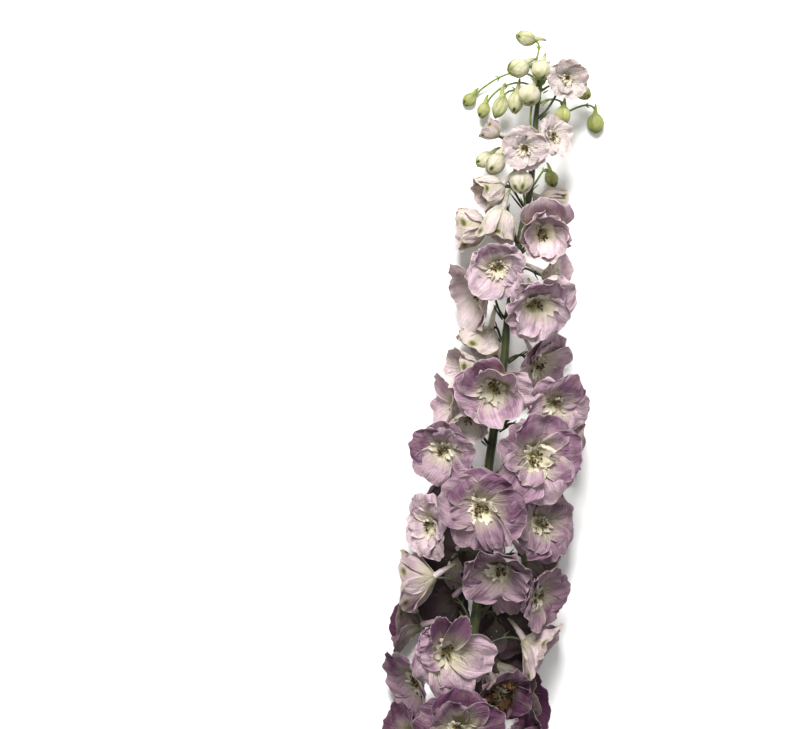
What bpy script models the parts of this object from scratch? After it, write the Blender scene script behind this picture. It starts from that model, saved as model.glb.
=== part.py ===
"""Delphinium flower spike: one cut raceme lying on its side on a flat surface.

Frame: metres, +Y along the stem towards the tip, +X to the right of the stem seen from above,
+Z up, with Z = 0 on the surface that the spike rests on.  The origin is the middle of the
bounding box at that surface.

Every flower is one closed solid: its cup of five sepals, its spur, the small centre and the
stalk that carries it, because they grow as one piece.  The stalks stop a hair short of the stem.
"""
import math

import bmesh
import bpy
from mathutils import Matrix, Vector

# ------------------------------------------------------------------ driving dimensions (metres)
MM = 0.001
STEM_TIP_Y = 0.3365          # growing tip of the stem
STEM_CUT_Y = -0.3600         # cut end of the stem
STEM_CUT_RADIUS = 0.0039     # radius at the cut end
CUT_SLOPE = 28.0             # degrees, slope of the knife cut
SEPAL_THICKNESS = 0.0009
STALK_RADIUS = 0.00090
SPUR_RADIUS = 0.0019
STALK_GAP = 0.00035          # clearance between a stalk's foot and the stem
FLOOR_SOFT = 0.0035          # height over which a petal bends as it meets the surface
SEPALS = 5
LOBE_NOTCH = 0.80            # length of the cup between two sepals, as a share of the sepal
CUP_RINGS = (0.0, 0.5, 1.0)

# stem centre line: distance along the spike, sideways, height, radius (millimetres)
STEM_LINE = (
    (-360.0, 3.0, 3.70, 3.9), (-305.0, 2.6, 7.4, 3.8), (-250.0, 1.6, 12.8, 3.7),
    (-190.0, 0.0, 20.2, 3.55), (-127.0, -1.4, 25.6, 3.4), (-79.0, -1.2, 27.6, 3.3),
    (-37.0, -0.8, 28.6, 3.25), (4.0, -2.2, 29.0, 3.2), (55.0, -3.4, 29.0, 3.15),
    (86.0, -2.6, 28.8, 3.0), (133.0, -1.2, 28.2, 2.75), (152.0, -1.9, 27.8, 2.65),
    (200.0, -0.3, 27.0, 2.55), (220.0, 0.8, 26.6, 2.5), (249.0, 3.4, 26.0, 2.3),
    (297.0, 2.1, 25.0, 1.8), (321.0, 2.6, 24.6, 1.3), (336.5, 4.6, 24.6, 0.8),
)

# Open and half-open flowers, millimetres and degrees:
# name, eye x, y, z, tilt from straight up, heading (0 = +X, 90 = tip), roll, sepal length,
# openness (0 closed .. 1 flat), distance along the stem where the stalk leaves it
FLOWERS = (
    ("floret_01", 19.8, 328.6, 33, 18, 300, 10, 16.5, 0.78, 300),
    ("floret_02", -4.5, 275.8, 51, 14, 275, 0, 18.5, 0.88, 262),
    ("floret_03", 12.5, 285.5, 37, 38, 20, 0, 17.5, 0.82, 266),
    ("half_open_01", -22, 283, 33, 92, 150, 0, 16, 0.3, 272),
    ("half_open_02", -15.2, 248.9, 34.8, 72, 210, 0, 25.2, 0.4, 237.8),
    ("half_open_03", -14.1, 232.3, 49.5, 88, 262, 0, 27.5, 0.34, 212.5),
    ("floret_04", -23.3, 219, 23.5, 81, 186, 0, 28.8, 0.59, 204.9),
    ("floret_05", 13.9, 221.8, 46.2, 22, 287, 0, 30.8, 0.76, 205.6),
    ("floret_06", -13.6, 192.7, 57.4, 15, 276, 0, 25.5, 0.88, 181.6),
    ("floret_07", 12.4, 171.9, 46.8, 35, 305, 0, 32.5, 0.84, 158),
    ("floret_08", -18.5, 176, 31.2, 69, 211, 0, 31, 0.71, 159.7),
    ("half_open_04", -11, 150.2, 19.8, 89, 240, 0, 29.5, 0.43, 144.1),
    ("floret_09", -6.6, 111.6, 54.9, 16, 262, 0, 32.5, 0.84, 97.7),
    ("half_open_05", -18.5, 120.6, 41, 63, 184, 0, 26.4, 0.41, 106.5),
    ("floret_10", -25.5, 93.4, 18.7, 73, 181, 0, 29.4, 0.71, 87.9),
    ("half_open_06", -21.5, 87.8, 40.7, 36, 274, 0, 21.5, 0.3, 71.8),
    ("floret_11", -34.6, 64.9, 39.9, 23, 237, 0, 27.6, 0.85, 46),
    ("floret_12", 35, 105.3, 43.3, 26, 303, 0, 27.2, 0.86, 86),
    ("floret_13", 23.9, 67.1, 50, 23, 339, 0, 36.3, 0.92, 49.3),
    ("floret_14", -6, 27.3, 60.9, 5, 270, 0, 35.8, 0.97, 11.1),
    ("floret_15", -34.5, 12.5, 31.4, 52, 197, 0, 28, 0.81, 1.8),
    ("floret_16", 12, -9.8, 47.5, 40, 260, 0, 32.7, 0.78, -25.7),
    ("floret_17", 32.2, 20.1, 32.2, 35, 363, 0, 31.2, 0.83, -5.1),
    ("floret_18", -31.5, -25.1, 34.1, 106, 192, 0, 31.8, 0.57, -34),
    ("floret_19", -19.3, -71, 55.8, 12, 300, 0, 35, 0.82, -85.9),
    ("floret_20", -31.6, -94.9, 26.8, 65, 208, 0, 32.2, 0.76, -101.1),
    ("floret_21", 34.7, -28.5, 34.9, 54, 349, 0, 29.4, 0.78, -43.4),
    ("floret_22", 33.6, -62.2, 24.7, 83, 338, 0, 32.4, 0.59, -72.4),
    ("floret_23", 16.8, -95.4, 43, 39, 319, 0, 28.6, 0.74, -108.4),
    # the sides and the underside, pressed on the surface
    ("half_open_07", 11.1, 243.3, 11.5, 88, 6, 0, 23.5, 0.33, 233.5),
    ("floret_24", 19, 191.5, 15.1, 74, 4, 0, 28, 0.86, 192.4),
    ("floret_25", 19.1, 132.1, 15.4, 55, 327, 0, 30.7, 0.9, 130.2),
    ("floret_26", -22, 31, 11.6, 98, 154, 0, 32, 0.82, 40.8),
    ("floret_27", 37.8, 81.7, 15.6, 96, 7, 0, 34.8, 0.78, 82.4),
    ("floret_28", 27, -4.2, 13.8, 103, 342, 0, 32, 0.71, -15.2),
    ("floret_29", -36.8, -61.6, 11.6, 95, 176, 0, 30.2, 0.76, -73.7),
    ("floret_30", 32.5, -107.9, 12.3, 86, 18, 0, 31.5, 0.71, -117.8),
    # below the part of the stem that carries the tightest flowers
    ("floret_31", -4.9, -123.7, 49.1, 17, 268, 0, 36, 0.97, -139.5),
    ("floret_32", 27.5, -138.3, 22.6, 55, 347, 0, 32.4, 0.86, -147.5),
    ("floret_33", -29.3, -138.1, 21.3, 62, 186, 0, 32.4, 0.85, -152.5),
    ("floret_34", 13.7, -47, 10.5, 147, 322, 0, 32.2, 0.94, -49.8),
    ("floret_35", -16, -38.6, 11.8, 154, 198, 0, 29.3, 0.82, -52.4),
    ("floret_36", -17, -5.7, 11.1, 152, 224, 0, 32.2, 0.94, -10.3),
    ("floret_37", 12.1, -80.9, 9.7, 152, 342, 0, 31.1, 0.78, -84.6),
)

# Buds, millimetres and degrees: name, centre x, y, z, tilt and heading of the bud's tip,
# length, width, distance along the stem where the stalk leaves it
BUDS = (
    ("bud_01", -11.0, 353.0, 23.0, 88, 172, 14.5, 9.5, 326),
    ("bud_02", -14.0, 331.0, 33.0, 72, 205, 15.0, 12.5, 323),
    ("bud_03", 1.5, 330.5, 39.0, 60, 258, 14.0, 12.0, 316),
    ("bud_04", -4.5, 313.0, 36.0, 55, 250, 15.5, 13.5, 288),
    ("bud_05", -13.5, 308.5, 25.0, 88, 266, 16.5, 9.5, 314),
    ("bud_06", -23.5, 304.5, 17.0, 90, 256, 17.0, 9.0, 312),
    ("bud_07", -34.5, 301.5, 9.0, 92, 250, 11.5, 7.5, 318),
    ("bud_08", -45.0, 308.0, 3.0, 90, 228, 10.5, 7.5, 324),
    ("bud_09", 33.0, 320.5, 19.0, 85, 320, 11.5, 9.0, 319),
    ("bud_10", 44.5, 301.5, 4.2, 90, 275, 13.5, 10.0, 290),
    ("bud_11", 20.5, 303.0, 26.0, 90, 275, 13.0, 8.5, 310),
    ("bud_12", -30.0, 266.5, 22.0, 88, 215, 14.0, 9.5, 258),
    ("bud_13", -22.5, 263.5, 36.0, 70, 240, 17.0, 11.0, 248),
    ("bud_14", -3.5, 252.5, 45.0, 52, 268, 18.0, 14.0, 238),
    ("bud_15", 18.0, 259.0, 9.0, 92, 300, 12.0, 8.5, 252),
)


# ------------------------------------------------------------------ small tools
def smooth_line(rows, y):
    """Value of every column of rows at y, on a smooth curve through the rows (first column y)."""
    n = len(rows)
    i = 0
    while i < n - 2 and y > rows[i + 1][0]:
        i += 1
    a, b = rows[i], rows[i + 1]
    p = rows[max(i - 1, 0)]
    q = rows[min(i + 2, n - 1)]
    t = min(max((y - a[0]) / (b[0] - a[0]), 0.0), 1.0)
    span = b[0] - a[0]
    out = []
    for k in range(1, len(a)):
        ma = (b[k] - p[k]) / (b[0] - p[0]) * span
        mb = (q[k] - a[k]) / (q[0] - a[0]) * span
        t2, t3 = t * t, t * t * t
        out.append((2 * t3 - 3 * t2 + 1) * a[k] + (t3 - 2 * t2 + t) * ma
                   + (3 * t2 - 2 * t3) * b[k] + (t3 - t2) * mb)
    return out


def stem_at(y_mm):
    x, z, r = smooth_line(STEM_LINE, y_mm)
    return Vector((x * MM, y_mm * MM, z * MM)), r * MM


def direction(tilt, heading):
    t, h = math.radians(tilt), math.radians(heading)
    return Vector((math.sin(t) * math.cos(h), math.sin(t) * math.sin(h), math.cos(t)))


def flower_frame(eye, facing, roll):
    """Local frame of a flower: +Z out of its face, +Y towards the spurred upper sepal."""
    z = facing.normalized()
    y = Vector((0.0, 1.0, 0.0)) - z * z.y
    if y.length < 0.2:
        y = Vector((0.0, 0.0, 1.0)) - z * z.z
    y.normalize()
    x = y.cross(z)
    m = Matrix((x, y, z)).transposed().to_4x4()
    m = m @ Matrix.Rotation(math.radians(roll), 4, "Z")
    m.translation = eye
    return m


def bezier(p0, p1, p2, p3, count):
    pts = []
    for i in range(count):
        t = i / (count - 1)
        s = 1 - t
        pts.append(p0 * s ** 3 + p1 * 3 * s * s * t + p2 * 3 * s * t * t + p3 * t ** 3)
    return pts


def lift(p, low, push):
    """Bend a point that would pass through the surface back up onto it."""
    top = low + FLOOR_SOFT
    if p.z >= top:
        return p
    z = low + FLOOR_SOFT * math.exp((p.z - top) / FLOOR_SOFT)
    d = z - p.z
    return Vector((p.x + push.x * d * 0.7, p.y + push.y * d * 0.7, z))


# ------------------------------------------------------------------ collections and materials
for old in list(bpy.data.objects):
    bpy.data.objects.remove(old, do_unlink=True)

spike = bpy.data.collections.new("delphinium_flower_spike")
cutters = bpy.data.collections.new("cutters")
for col in (spike, cutters):
    bpy.context.scene.collection.children.link(col)
cutters.hide_render = True

root = bpy.data.objects.new("spike_origin", None)
root.empty_display_size = 0.03
spike.objects.link(root)


def finish(name, colour, roughness):
    mat = bpy.data.materials.new(name)
    mat.use_nodes = True
    bsdf = mat.node_tree.nodes["Principled BSDF"]
    bsdf.inputs["Base Color"].default_value = (*colour, 1.0)
    bsdf.inputs["Roughness"].default_value = roughness
    bsdf.inputs["Metallic"].default_value = 0.0
    mat.diffuse_color = (*colour, 1.0)
    return mat


def add_object(name, mesh, collection=spike):
    ob = bpy.data.objects.new(name, mesh)
    collection.objects.link(ob)
    return ob


def evaluated(ob):
    bpy.context.view_layer.update()
    deps = bpy.context.evaluated_depsgraph_get()
    return bpy.data.meshes.new_from_object(ob.evaluated_get(deps), depsgraph=deps)


def bake(ob):
    """Replace an object's mesh by its modified one."""
    mesh = evaluated(ob)
    ob.modifiers.clear()
    ob.data = mesh


def tube_mesh(name, points, radii, resolution):
    """Tube along points as a welded mesh, made from a bevelled curve with filled caps."""
    curve = bpy.data.curves.new(name, "CURVE")
    curve.dimensions = "3D"
    curve.bevel_depth = 1.0
    curve.bevel_resolution = resolution
    curve.use_fill_caps = True
    line = curve.splines.new("POLY")
    line.points.add(len(points) - 1)
    for pt, co, r in zip(line.points, points, radii):
        pt.co = (*co, 1.0)
        pt.radius = r
    ob = add_object(name, curve, cutters)
    mesh = evaluated(ob)
    bpy.data.objects.remove(ob, do_unlink=True)
    bm = bmesh.new()
    bm.from_mesh(mesh)
    bmesh.ops.remove_doubles(bm, verts=bm.verts, dist=0.00002)
    bmesh.ops.recalc_face_normals(bm, faces=bm.faces)
    bm.to_mesh(mesh)
    bm.free()
    return mesh


def unite(ob, meshes):
    """Join overlapping bodies into the object's own body."""
    parts = []
    for i, mesh in enumerate(meshes):
        part = add_object(f"{ob.name}_join_{i}", mesh, cutters)
        parts.append(part)
        mod = ob.modifiers.new(f"join_{i}", "BOOLEAN")
        mod.operation = "UNION"
        mod.solver = "EXACT"
        mod.object = part
    bake(ob)
    for part in parts:
        bpy.data.objects.remove(part, do_unlink=True)
    # close the tiny slits that the joins leave
    bm = bmesh.new()
    bm.from_mesh(ob.data)
    bmesh.ops.triangulate(bm, faces=bm.faces)
    bmesh.ops.remove_doubles(bm, verts=bm.verts, dist=0.00001)
    bmesh.ops.dissolve_degenerate(bm, edges=bm.edges, dist=0.000005)
    bmesh.ops.triangulate(bm, faces=bm.faces)
    bm.to_mesh(ob.data)
    bm.free()


def shade(ob, mat):
    ob.data.materials.clear()
    ob.data.materials.append(mat)
    ob.data.shade_smooth()
    ob.data.set_sharp_from_angle(angle=math.radians(50))
    ob.parent = root


# ------------------------------------------------------------------ main stem
def build_stem():
    pts, rad = [], []
    count = 24
    y0, y1 = STEM_CUT_Y / MM - 3.0, STEM_TIP_Y / MM
    for i in range(count):
        y = y0 + (y1 - y0) * i / (count - 1)
        c, r = stem_at(max(y, STEM_CUT_Y / MM))
        c.y = y * MM
        pts.append(c)
        rad.append(r)
    ob = add_object("main_stem", tube_mesh("main_stem_line", pts, rad, 2))
    # the sloping knife cut at the foot of the stem
    foot, r = stem_at(STEM_CUT_Y / MM)
    block = bpy.data.meshes.new("knife_cut")
    bm = bmesh.new()
    bmesh.ops.create_cube(bm, size=0.03)
    bm.to_mesh(block)
    bm.free()
    cutter = add_object("knife_cut", block, cutters)
    cutter.location = foot + Vector((0.0, -0.015 / math.cos(math.radians(CUT_SLOPE)) + r * 0.9, 0.0))
    cutter.rotation_euler = (math.radians(CUT_SLOPE), 0.0, 0.0)
    cutter.hide_render = True
    cutter.display_type = "WIRE"
    cut = ob.modifiers.new("knife_cut", "BOOLEAN")
    cut.operation = "DIFFERENCE"
    cut.solver = "EXACT"
    cut.object = cutter
    shade(ob, finish("stem_green", (0.055, 0.085, 0.030), 0.55))
    return ob


# ------------------------------------------------------------------ stalks
def stalk_points(base, arrive, y_leave, count=5):
    """Centre line of a stalk from the stem to the back of a flower or bud."""
    foot, r = stem_at(y_leave)
    out = base - foot
    out.y = 0.0
    out.normalize()
    start = foot + out * (r + STALK_RADIUS * 0.9 + STALK_GAP)
    span = (base - start).length
    leave = (out * 0.75 + Vector((0.0, 0.66, 0.0))).normalized()
    pts = bezier(start, start + leave * span * 0.42, base - arrive * max(span * 0.36, 0.006), base, count)
    return [Vector((p.x, p.y, max(p.z, STALK_RADIUS * 1.4))) for p in pts]


# ------------------------------------------------------------------ flowers
def cup_mesh(name, frame, length, openness):
    """Open surface of the five joined sepals, with the surface's press on the lowest ones."""
    a0 = math.radians(60.0 - 12.0 * openness)
    a1 = math.radians(-50.0 + 145.0 * openness)
    base_r = 0.10 * length
    profile = []
    rho, z, last = base_r, 0.0, 0.0
    steps = 24
    for k in range(steps + 1):
        u = k / steps
        if k:
            a = a0 + (a1 - a0) * (u - 0.5 / steps)
            rho += math.sin(a) * length * 0.9 / steps
            z += math.cos(a) * length * 0.9 / steps
        profile.append((rho, z))
    facing = frame.col[2].xyz
    bm = bmesh.new()
    low = SEPAL_THICKNESS * 0.5
    middle = bm.verts.new(frame @ Vector((0.0, 0.0, -0.03 * length)))
    around = SEPALS * 2
    rings = []
    for u in CUP_RINGS:
        rho, z = profile[round(u * steps)]
        ring = []
        for j in range(around):
            ang = math.radians(90.0 + 360.0 / around * j)
            k = 1.0 if j % 2 == 0 else 1.0 - (1.0 - LOBE_NOTCH) * u
            rr = base_r + (rho - base_r) * k
            local = Vector((rr * math.cos(ang), rr * math.sin(ang), z * k))
            p = frame @ local
            radial = (p - frame.translation)
            push = Vector((facing.x, facing.y, 0.0)) + Vector((radial.x, radial.y, 0.0)) * (0.5 / length)
            if push.length > 0.01:
                push.normalize()
            ring.append(bm.verts.new(lift(p, low, push)))
        rings.append(ring)
    for j in range(around):
        k = (j + 1) % around
        bm.faces.new((middle, rings[0][j], rings[0][k]))
        for a, b in zip(rings, rings[1:]):
            bm.faces.new((a[j], b[j], b[k], a[k]))
    mesh = bpy.data.meshes.new(name)
    bm.to_mesh(mesh)
    bm.free()
    return mesh


def centre_mesh(name, frame, length):
    """The small petals and stamens in the eye, as one rounded lump that joins cup and stalk."""
    bm = bmesh.new()
    bmesh.ops.create_icosphere(bm, subdivisions=1, radius=1.0)
    size = max(0.0022, 0.135 * length)
    for v in bm.verts:
        v.co = frame @ Vector((v.co.x * size, v.co.y * size, v.co.z * size * 1.15 + size * 0.35))
        v.co.z = max(v.co.z, 0.0004)
    mesh = bpy.data.meshes.new(name)
    bm.to_mesh(mesh)
    bm.free()
    return mesh


def build_flower(row, mat):
    name, x, y, z, tilt, heading, roll, length, openness, y_leave = row
    eye = Vector((x, y, z)) * MM
    length *= MM
    face = direction(tilt, heading)
    frame = flower_frame(eye, face, roll)
    dorsal = frame.col[1].xyz
    ob = add_object(name, cup_mesh(name, frame, length, openness))
    shell = ob.modifiers.new("sepal_thickness", "SOLIDIFY")
    shell.thickness = SEPAL_THICKNESS
    shell.offset = 0.0
    bake(ob)
    base = eye + face * 0.0002
    stalk = stalk_points(base, face, y_leave)
    radii = [STALK_RADIUS] * (len(stalk) - 1) + [STALK_RADIUS * 1.5]
    spur_len = 0.52 * length
    spur = bezier(eye + dorsal * 0.0012 + face * 0.0006,
                  eye - face * spur_len * 0.35 + dorsal * spur_len * 0.30,
                  eye - face * spur_len * 0.75 + dorsal * spur_len * 0.50,
                  eye - face * spur_len * 1.00 + dorsal * spur_len * 0.52, 3)
    spur = [Vector((p.x, p.y, max(p.z, SPUR_RADIUS))) for p in spur]
    spur_r = [SPUR_RADIUS, SPUR_RADIUS * 0.75, SPUR_RADIUS * 0.35]
    unite(ob, [centre_mesh(name + "_centre", frame, length),
               tube_mesh(name + "_stalk", stalk, radii, 0),
               tube_mesh(name + "_spur", spur, spur_r, 0)])
    shade(ob, mat)
    return ob


# ------------------------------------------------------------------ buds
def build_bud(row, mat):
    name, x, y, z, tilt, heading, length, width, y_leave = row
    centre = Vector((x, y, z)) * MM
    length *= MM
    width *= MM
    point = direction(tilt, heading)
    frame = flower_frame(centre, point, 0.0)
    bm = bmesh.new()
    bmesh.ops.create_uvsphere(bm, u_segments=8, v_segments=5, radius=1.0)
    for v in bm.verts:
        # egg shape, fuller towards the foot
        full = 1.0 - 0.14 * v.co.z
        local = Vector((v.co.x * width * 0.5 * full, v.co.y * width * 0.5 * full, v.co.z * length * 0.5))
        v.co = lift(frame @ local, 0.00005, Vector((0, 0, 0)))
    mesh = bpy.data.meshes.new(name)
    bm.to_mesh(mesh)
    bm.free()
    ob = add_object(name, mesh)
    base = centre - point * length * 0.40
    stalk = stalk_points(base, point, y_leave)
    dorsal = frame.col[1].xyz
    spur_len = 0.60 * length
    foot = centre - point * length * 0.36 + dorsal * width * 0.12
    spur = [foot, foot - point * spur_len * 0.5 + dorsal * spur_len * 0.16,
            foot - point * spur_len + dorsal * spur_len * 0.14]
    spur = [Vector((p.x, p.y, max(p.z, 0.0016))) for p in spur]
    unite(ob, [tube_mesh(name + "_stalk", stalk, [STALK_RADIUS * 0.85] * len(stalk), 0),
               tube_mesh(name + "_spur", spur, [0.0016, 0.0013, 0.0006], 0)])
    shade(ob, mat)
    return ob


# ------------------------------------------------------------------ build
build_stem()
for row in FLOWERS:
    pale = max(0.0, min(1.0, (row[2] + 60.0) / 380.0))
    colour = (0.42 + 0.24 * pale, 0.28 + 0.34 * pale, 0.44 + 0.10 * pale)
    build_flower(row, finish(row[0] + "_sepal", colour, 0.6))
for row in BUDS:
    build_bud(row, finish(row[0] + "_green", (0.62, 0.64, 0.38), 0.5))
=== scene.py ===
import math

import bpy
import numpy as np
from mathutils import Matrix, Vector


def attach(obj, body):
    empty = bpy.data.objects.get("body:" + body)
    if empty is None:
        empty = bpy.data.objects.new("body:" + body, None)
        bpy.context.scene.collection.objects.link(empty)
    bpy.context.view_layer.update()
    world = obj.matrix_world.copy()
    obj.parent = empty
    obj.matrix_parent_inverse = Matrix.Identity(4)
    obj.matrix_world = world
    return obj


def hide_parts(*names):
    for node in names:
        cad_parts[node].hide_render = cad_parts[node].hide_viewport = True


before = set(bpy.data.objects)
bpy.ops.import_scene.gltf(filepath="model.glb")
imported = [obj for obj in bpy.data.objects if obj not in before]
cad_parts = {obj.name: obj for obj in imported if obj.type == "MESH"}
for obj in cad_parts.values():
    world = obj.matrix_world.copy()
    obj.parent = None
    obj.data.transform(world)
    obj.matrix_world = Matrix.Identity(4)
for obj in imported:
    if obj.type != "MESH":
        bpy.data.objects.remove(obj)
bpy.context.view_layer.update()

# =====================================================================================
# Delphinium flower spike: the fine surface of every floret, bud, stalk and the stem.
# Metres, same frame as the solids: +Y along the stem to the tip, +Z up off the surface.
# =====================================================================================
MM = 0.001
FLOOR_SOFT = 0.0035
STALK_RADIUS = 0.00092
STALK_GAP = 0.00035
SPUR_RADIUS = 0.0020

# stem centre line: distance along the spike, sideways, height, radius (millimetres)
STEM_LINE = (
    (-360.0, 3.0, 3.70, 3.9), (-305.0, 2.6, 7.4, 3.8), (-250.0, 1.6, 12.8, 3.7),
    (-190.0, 0.0, 20.2, 3.55), (-127.0, -1.4, 25.6, 3.4), (-79.0, -1.2, 27.6, 3.3),
    (-37.0, -0.8, 28.6, 3.25), (4.0, -2.2, 29.0, 3.2), (55.0, -3.4, 29.0, 3.15),
    (86.0, -2.6, 28.8, 3.0), (133.0, -1.2, 28.2, 2.75), (152.0, -1.9, 27.8, 2.65),
    (200.0, -0.3, 27.0, 2.55), (220.0, 0.8, 26.6, 2.5), (249.0, 3.4, 26.0, 2.3),
    (297.0, 2.1, 25.0, 1.8), (321.0, 2.6, 24.6, 1.3), (336.5, 4.6, 24.6, 0.8),
)

# name, eye x, y, z, tilt, heading, roll, sepal length, openness, where the stalk leaves
FLOWERS = (
    ("floret_01", 19.8, 328.6, 33, 18, 300, 10, 16.5, 0.78, 300),
    ("floret_02", -4.5, 275.8, 51, 14, 275, 0, 18.5, 0.88, 262),
    ("floret_03", 12.5, 285.5, 37, 38, 20, 0, 17.5, 0.82, 266),
    ("half_open_01", -22, 283, 33, 92, 150, 0, 16, 0.3, 272),
    ("half_open_02", -15.2, 248.9, 34.8, 72, 210, 0, 25.2, 0.4, 237.8),
    ("half_open_03", -14.1, 232.3, 49.5, 88, 262, 0, 27.5, 0.34, 212.5),
    ("floret_04", -23.3, 219, 23.5, 81, 186, 0, 28.8, 0.59, 204.9),
    ("floret_05", 13.9, 221.8, 46.2, 22, 287, 0, 30.8, 0.76, 205.6),
    ("floret_06", -13.6, 192.7, 57.4, 15, 276, 0, 25.5, 0.88, 181.6),
    ("floret_07", 12.4, 171.9, 46.8, 35, 305, 0, 32.5, 0.84, 158),
    ("floret_08", -18.5, 176, 31.2, 69, 211, 0, 31, 0.71, 159.7),
    ("half_open_04", -11, 150.2, 19.8, 89, 240, 0, 29.5, 0.43, 144.1),
    ("floret_09", -6.6, 111.6, 54.9, 16, 262, 0, 32.5, 0.84, 97.7),
    ("half_open_05", -18.5, 120.6, 41, 63, 184, 0, 26.4, 0.41, 106.5),
    ("floret_10", -25.5, 93.4, 18.7, 73, 181, 0, 29.4, 0.71, 87.9),
    ("half_open_06", -21.5, 87.8, 40.7, 36, 274, 0, 21.5, 0.3, 71.8),
    ("floret_11", -34.6, 64.9, 39.9, 23, 237, 0, 27.6, 0.85, 46),
    ("floret_12", 35, 105.3, 43.3, 26, 303, 0, 27.2, 0.86, 86),
    ("floret_13", 23.9, 67.1, 50, 23, 339, 0, 36.3, 0.92, 49.3),
    ("floret_14", -6, 27.3, 60.9, 5, 270, 0, 35.8, 0.97, 11.1),
    ("floret_15", -34.5, 12.5, 31.4, 52, 197, 0, 28, 0.81, 1.8),
    ("floret_16", 12, -9.8, 47.5, 40, 260, 0, 32.7, 0.78, -25.7),
    ("floret_17", 32.2, 20.1, 32.2, 35, 363, 0, 31.2, 0.83, -5.1),
    ("floret_18", -31.5, -25.1, 34.1, 106, 192, 0, 31.8, 0.57, -34),
    ("floret_19", -19.3, -71, 55.8, 12, 300, 0, 35, 0.82, -85.9),
    ("floret_20", -31.6, -94.9, 26.8, 65, 208, 0, 32.2, 0.76, -101.1),
    ("floret_21", 34.7, -28.5, 34.9, 54, 349, 0, 29.4, 0.78, -43.4),
    ("floret_22", 33.6, -62.2, 24.7, 83, 338, 0, 32.4, 0.59, -72.4),
    ("floret_23", 16.8, -95.4, 43, 39, 319, 0, 28.6, 0.74, -108.4),
    # the sides and the underside, pressed on the surface
    ("half_open_07", 11.1, 243.3, 11.5, 88, 6, 0, 23.5, 0.33, 233.5),
    ("floret_24", 19, 191.5, 15.1, 74, 4, 0, 28, 0.86, 192.4),
    ("floret_25", 19.1, 132.1, 15.4, 55, 327, 0, 30.7, 0.9, 130.2),
    ("floret_26", -22, 31, 11.6, 98, 154, 0, 32, 0.82, 40.8),
    ("floret_27", 37.8, 81.7, 15.6, 96, 7, 0, 34.8, 0.78, 82.4),
    ("floret_28", 27, -4.2, 13.8, 103, 342, 0, 32, 0.71, -15.2),
    ("floret_29", -36.8, -61.6, 11.6, 95, 176, 0, 30.2, 0.76, -73.7),
    ("floret_30", 32.5, -107.9, 12.3, 86, 18, 0, 31.5, 0.71, -117.8),
    # below the part of the stem that carries the tightest flowers
    ("floret_31", -4.9, -123.7, 49.1, 17, 268, 0, 36, 0.97, -139.5),
    ("floret_32", 27.5, -138.3, 22.6, 55, 347, 0, 32.4, 0.86, -147.5),
    ("floret_33", -29.3, -138.1, 21.3, 62, 186, 0, 32.4, 0.85, -152.5),
    ("floret_34", 13.7, -47, 10.5, 147, 322, 0, 32.2, 0.94, -49.8),
    ("floret_35", -16, -38.6, 11.8, 154, 198, 0, 29.3, 0.82, -52.4),
    ("floret_36", -17, -5.7, 11.1, 152, 224, 0, 32.2, 0.94, -10.3),
    ("floret_37", 12.1, -80.9, 9.7, 152, 342, 0, 31.1, 0.78, -84.6),
)

# name, centre x, y, z, tilt and heading of the bud's tip, length, width, stalk leaves at
BUDS = (
    ("bud_01", -11.0, 353.0, 23.0, 88, 172, 14.5, 9.5, 326),
    ("bud_02", -14.0, 331.0, 33.0, 72, 205, 15.0, 12.5, 323),
    ("bud_03", 1.5, 330.5, 39.0, 60, 258, 14.0, 12.0, 316),
    ("bud_04", -4.5, 313.0, 36.0, 55, 250, 15.5, 13.5, 288),
    ("bud_05", -13.5, 308.5, 25.0, 88, 266, 16.5, 9.5, 314),
    ("bud_06", -23.5, 304.5, 17.0, 90, 256, 17.0, 9.0, 312),
    ("bud_07", -34.5, 301.5, 9.0, 92, 250, 11.5, 7.5, 318),
    ("bud_08", -45.0, 308.0, 3.0, 90, 228, 10.5, 7.5, 324),
    ("bud_09", 33.0, 320.5, 19.0, 85, 320, 11.5, 9.0, 319),
    ("bud_10", 44.5, 301.5, 4.2, 90, 275, 13.5, 10.0, 290),
    ("bud_11", 20.5, 303.0, 26.0, 90, 275, 13.0, 8.5, 310),
    ("bud_12", -30.0, 266.5, 22.0, 88, 215, 14.0, 9.5, 258),
    ("bud_13", -22.5, 263.5, 36.0, 70, 240, 17.0, 11.0, 248),
    ("bud_14", -3.5, 252.5, 45.0, 52, 268, 18.0, 14.0, 238),
    ("bud_15", 18.0, 259.0, 9.0, 92, 300, 12.0, 8.5, 252),
)

MATS = {}
SEPAL, BEE, ANTHER, FILAMENT, GREEN = range(5)
MAT_ORDER = ("sepal", "bee", "anther", "filament", "green")


# ------------------------------------------------------------------ shared geometry
def smooth_line(rows, y):
    n = len(rows)
    i = 0
    while i < n - 2 and y > rows[i + 1][0]:
        i += 1
    a, b = rows[i], rows[i + 1]
    p = rows[max(i - 1, 0)]
    q = rows[min(i + 2, n - 1)]
    t = min(max((y - a[0]) / (b[0] - a[0]), 0.0), 1.0)
    span = b[0] - a[0]
    out = []
    for k in range(1, len(a)):
        ma = (b[k] - p[k]) / (b[0] - p[0]) * span
        mb = (q[k] - a[k]) / (q[0] - a[0]) * span
        t2, t3 = t * t, t * t * t
        out.append((2 * t3 - 3 * t2 + 1) * a[k] + (t3 - 2 * t2 + t) * ma
                   + (3 * t2 - 2 * t3) * b[k] + (t3 - t2) * mb)
    return out


def stem_at(y_mm):
    x, z, r = smooth_line(STEM_LINE, y_mm)
    return np.array((x * MM, y_mm * MM, z * MM)), r * MM


def direction(tilt, heading):
    t, h = math.radians(tilt), math.radians(heading)
    return np.array((math.sin(t) * math.cos(h), math.sin(t) * math.sin(h), math.cos(t)))


def unit(v):
    v = np.asarray(v, float)
    return v / max(1e-12, float(np.linalg.norm(v)))


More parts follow.
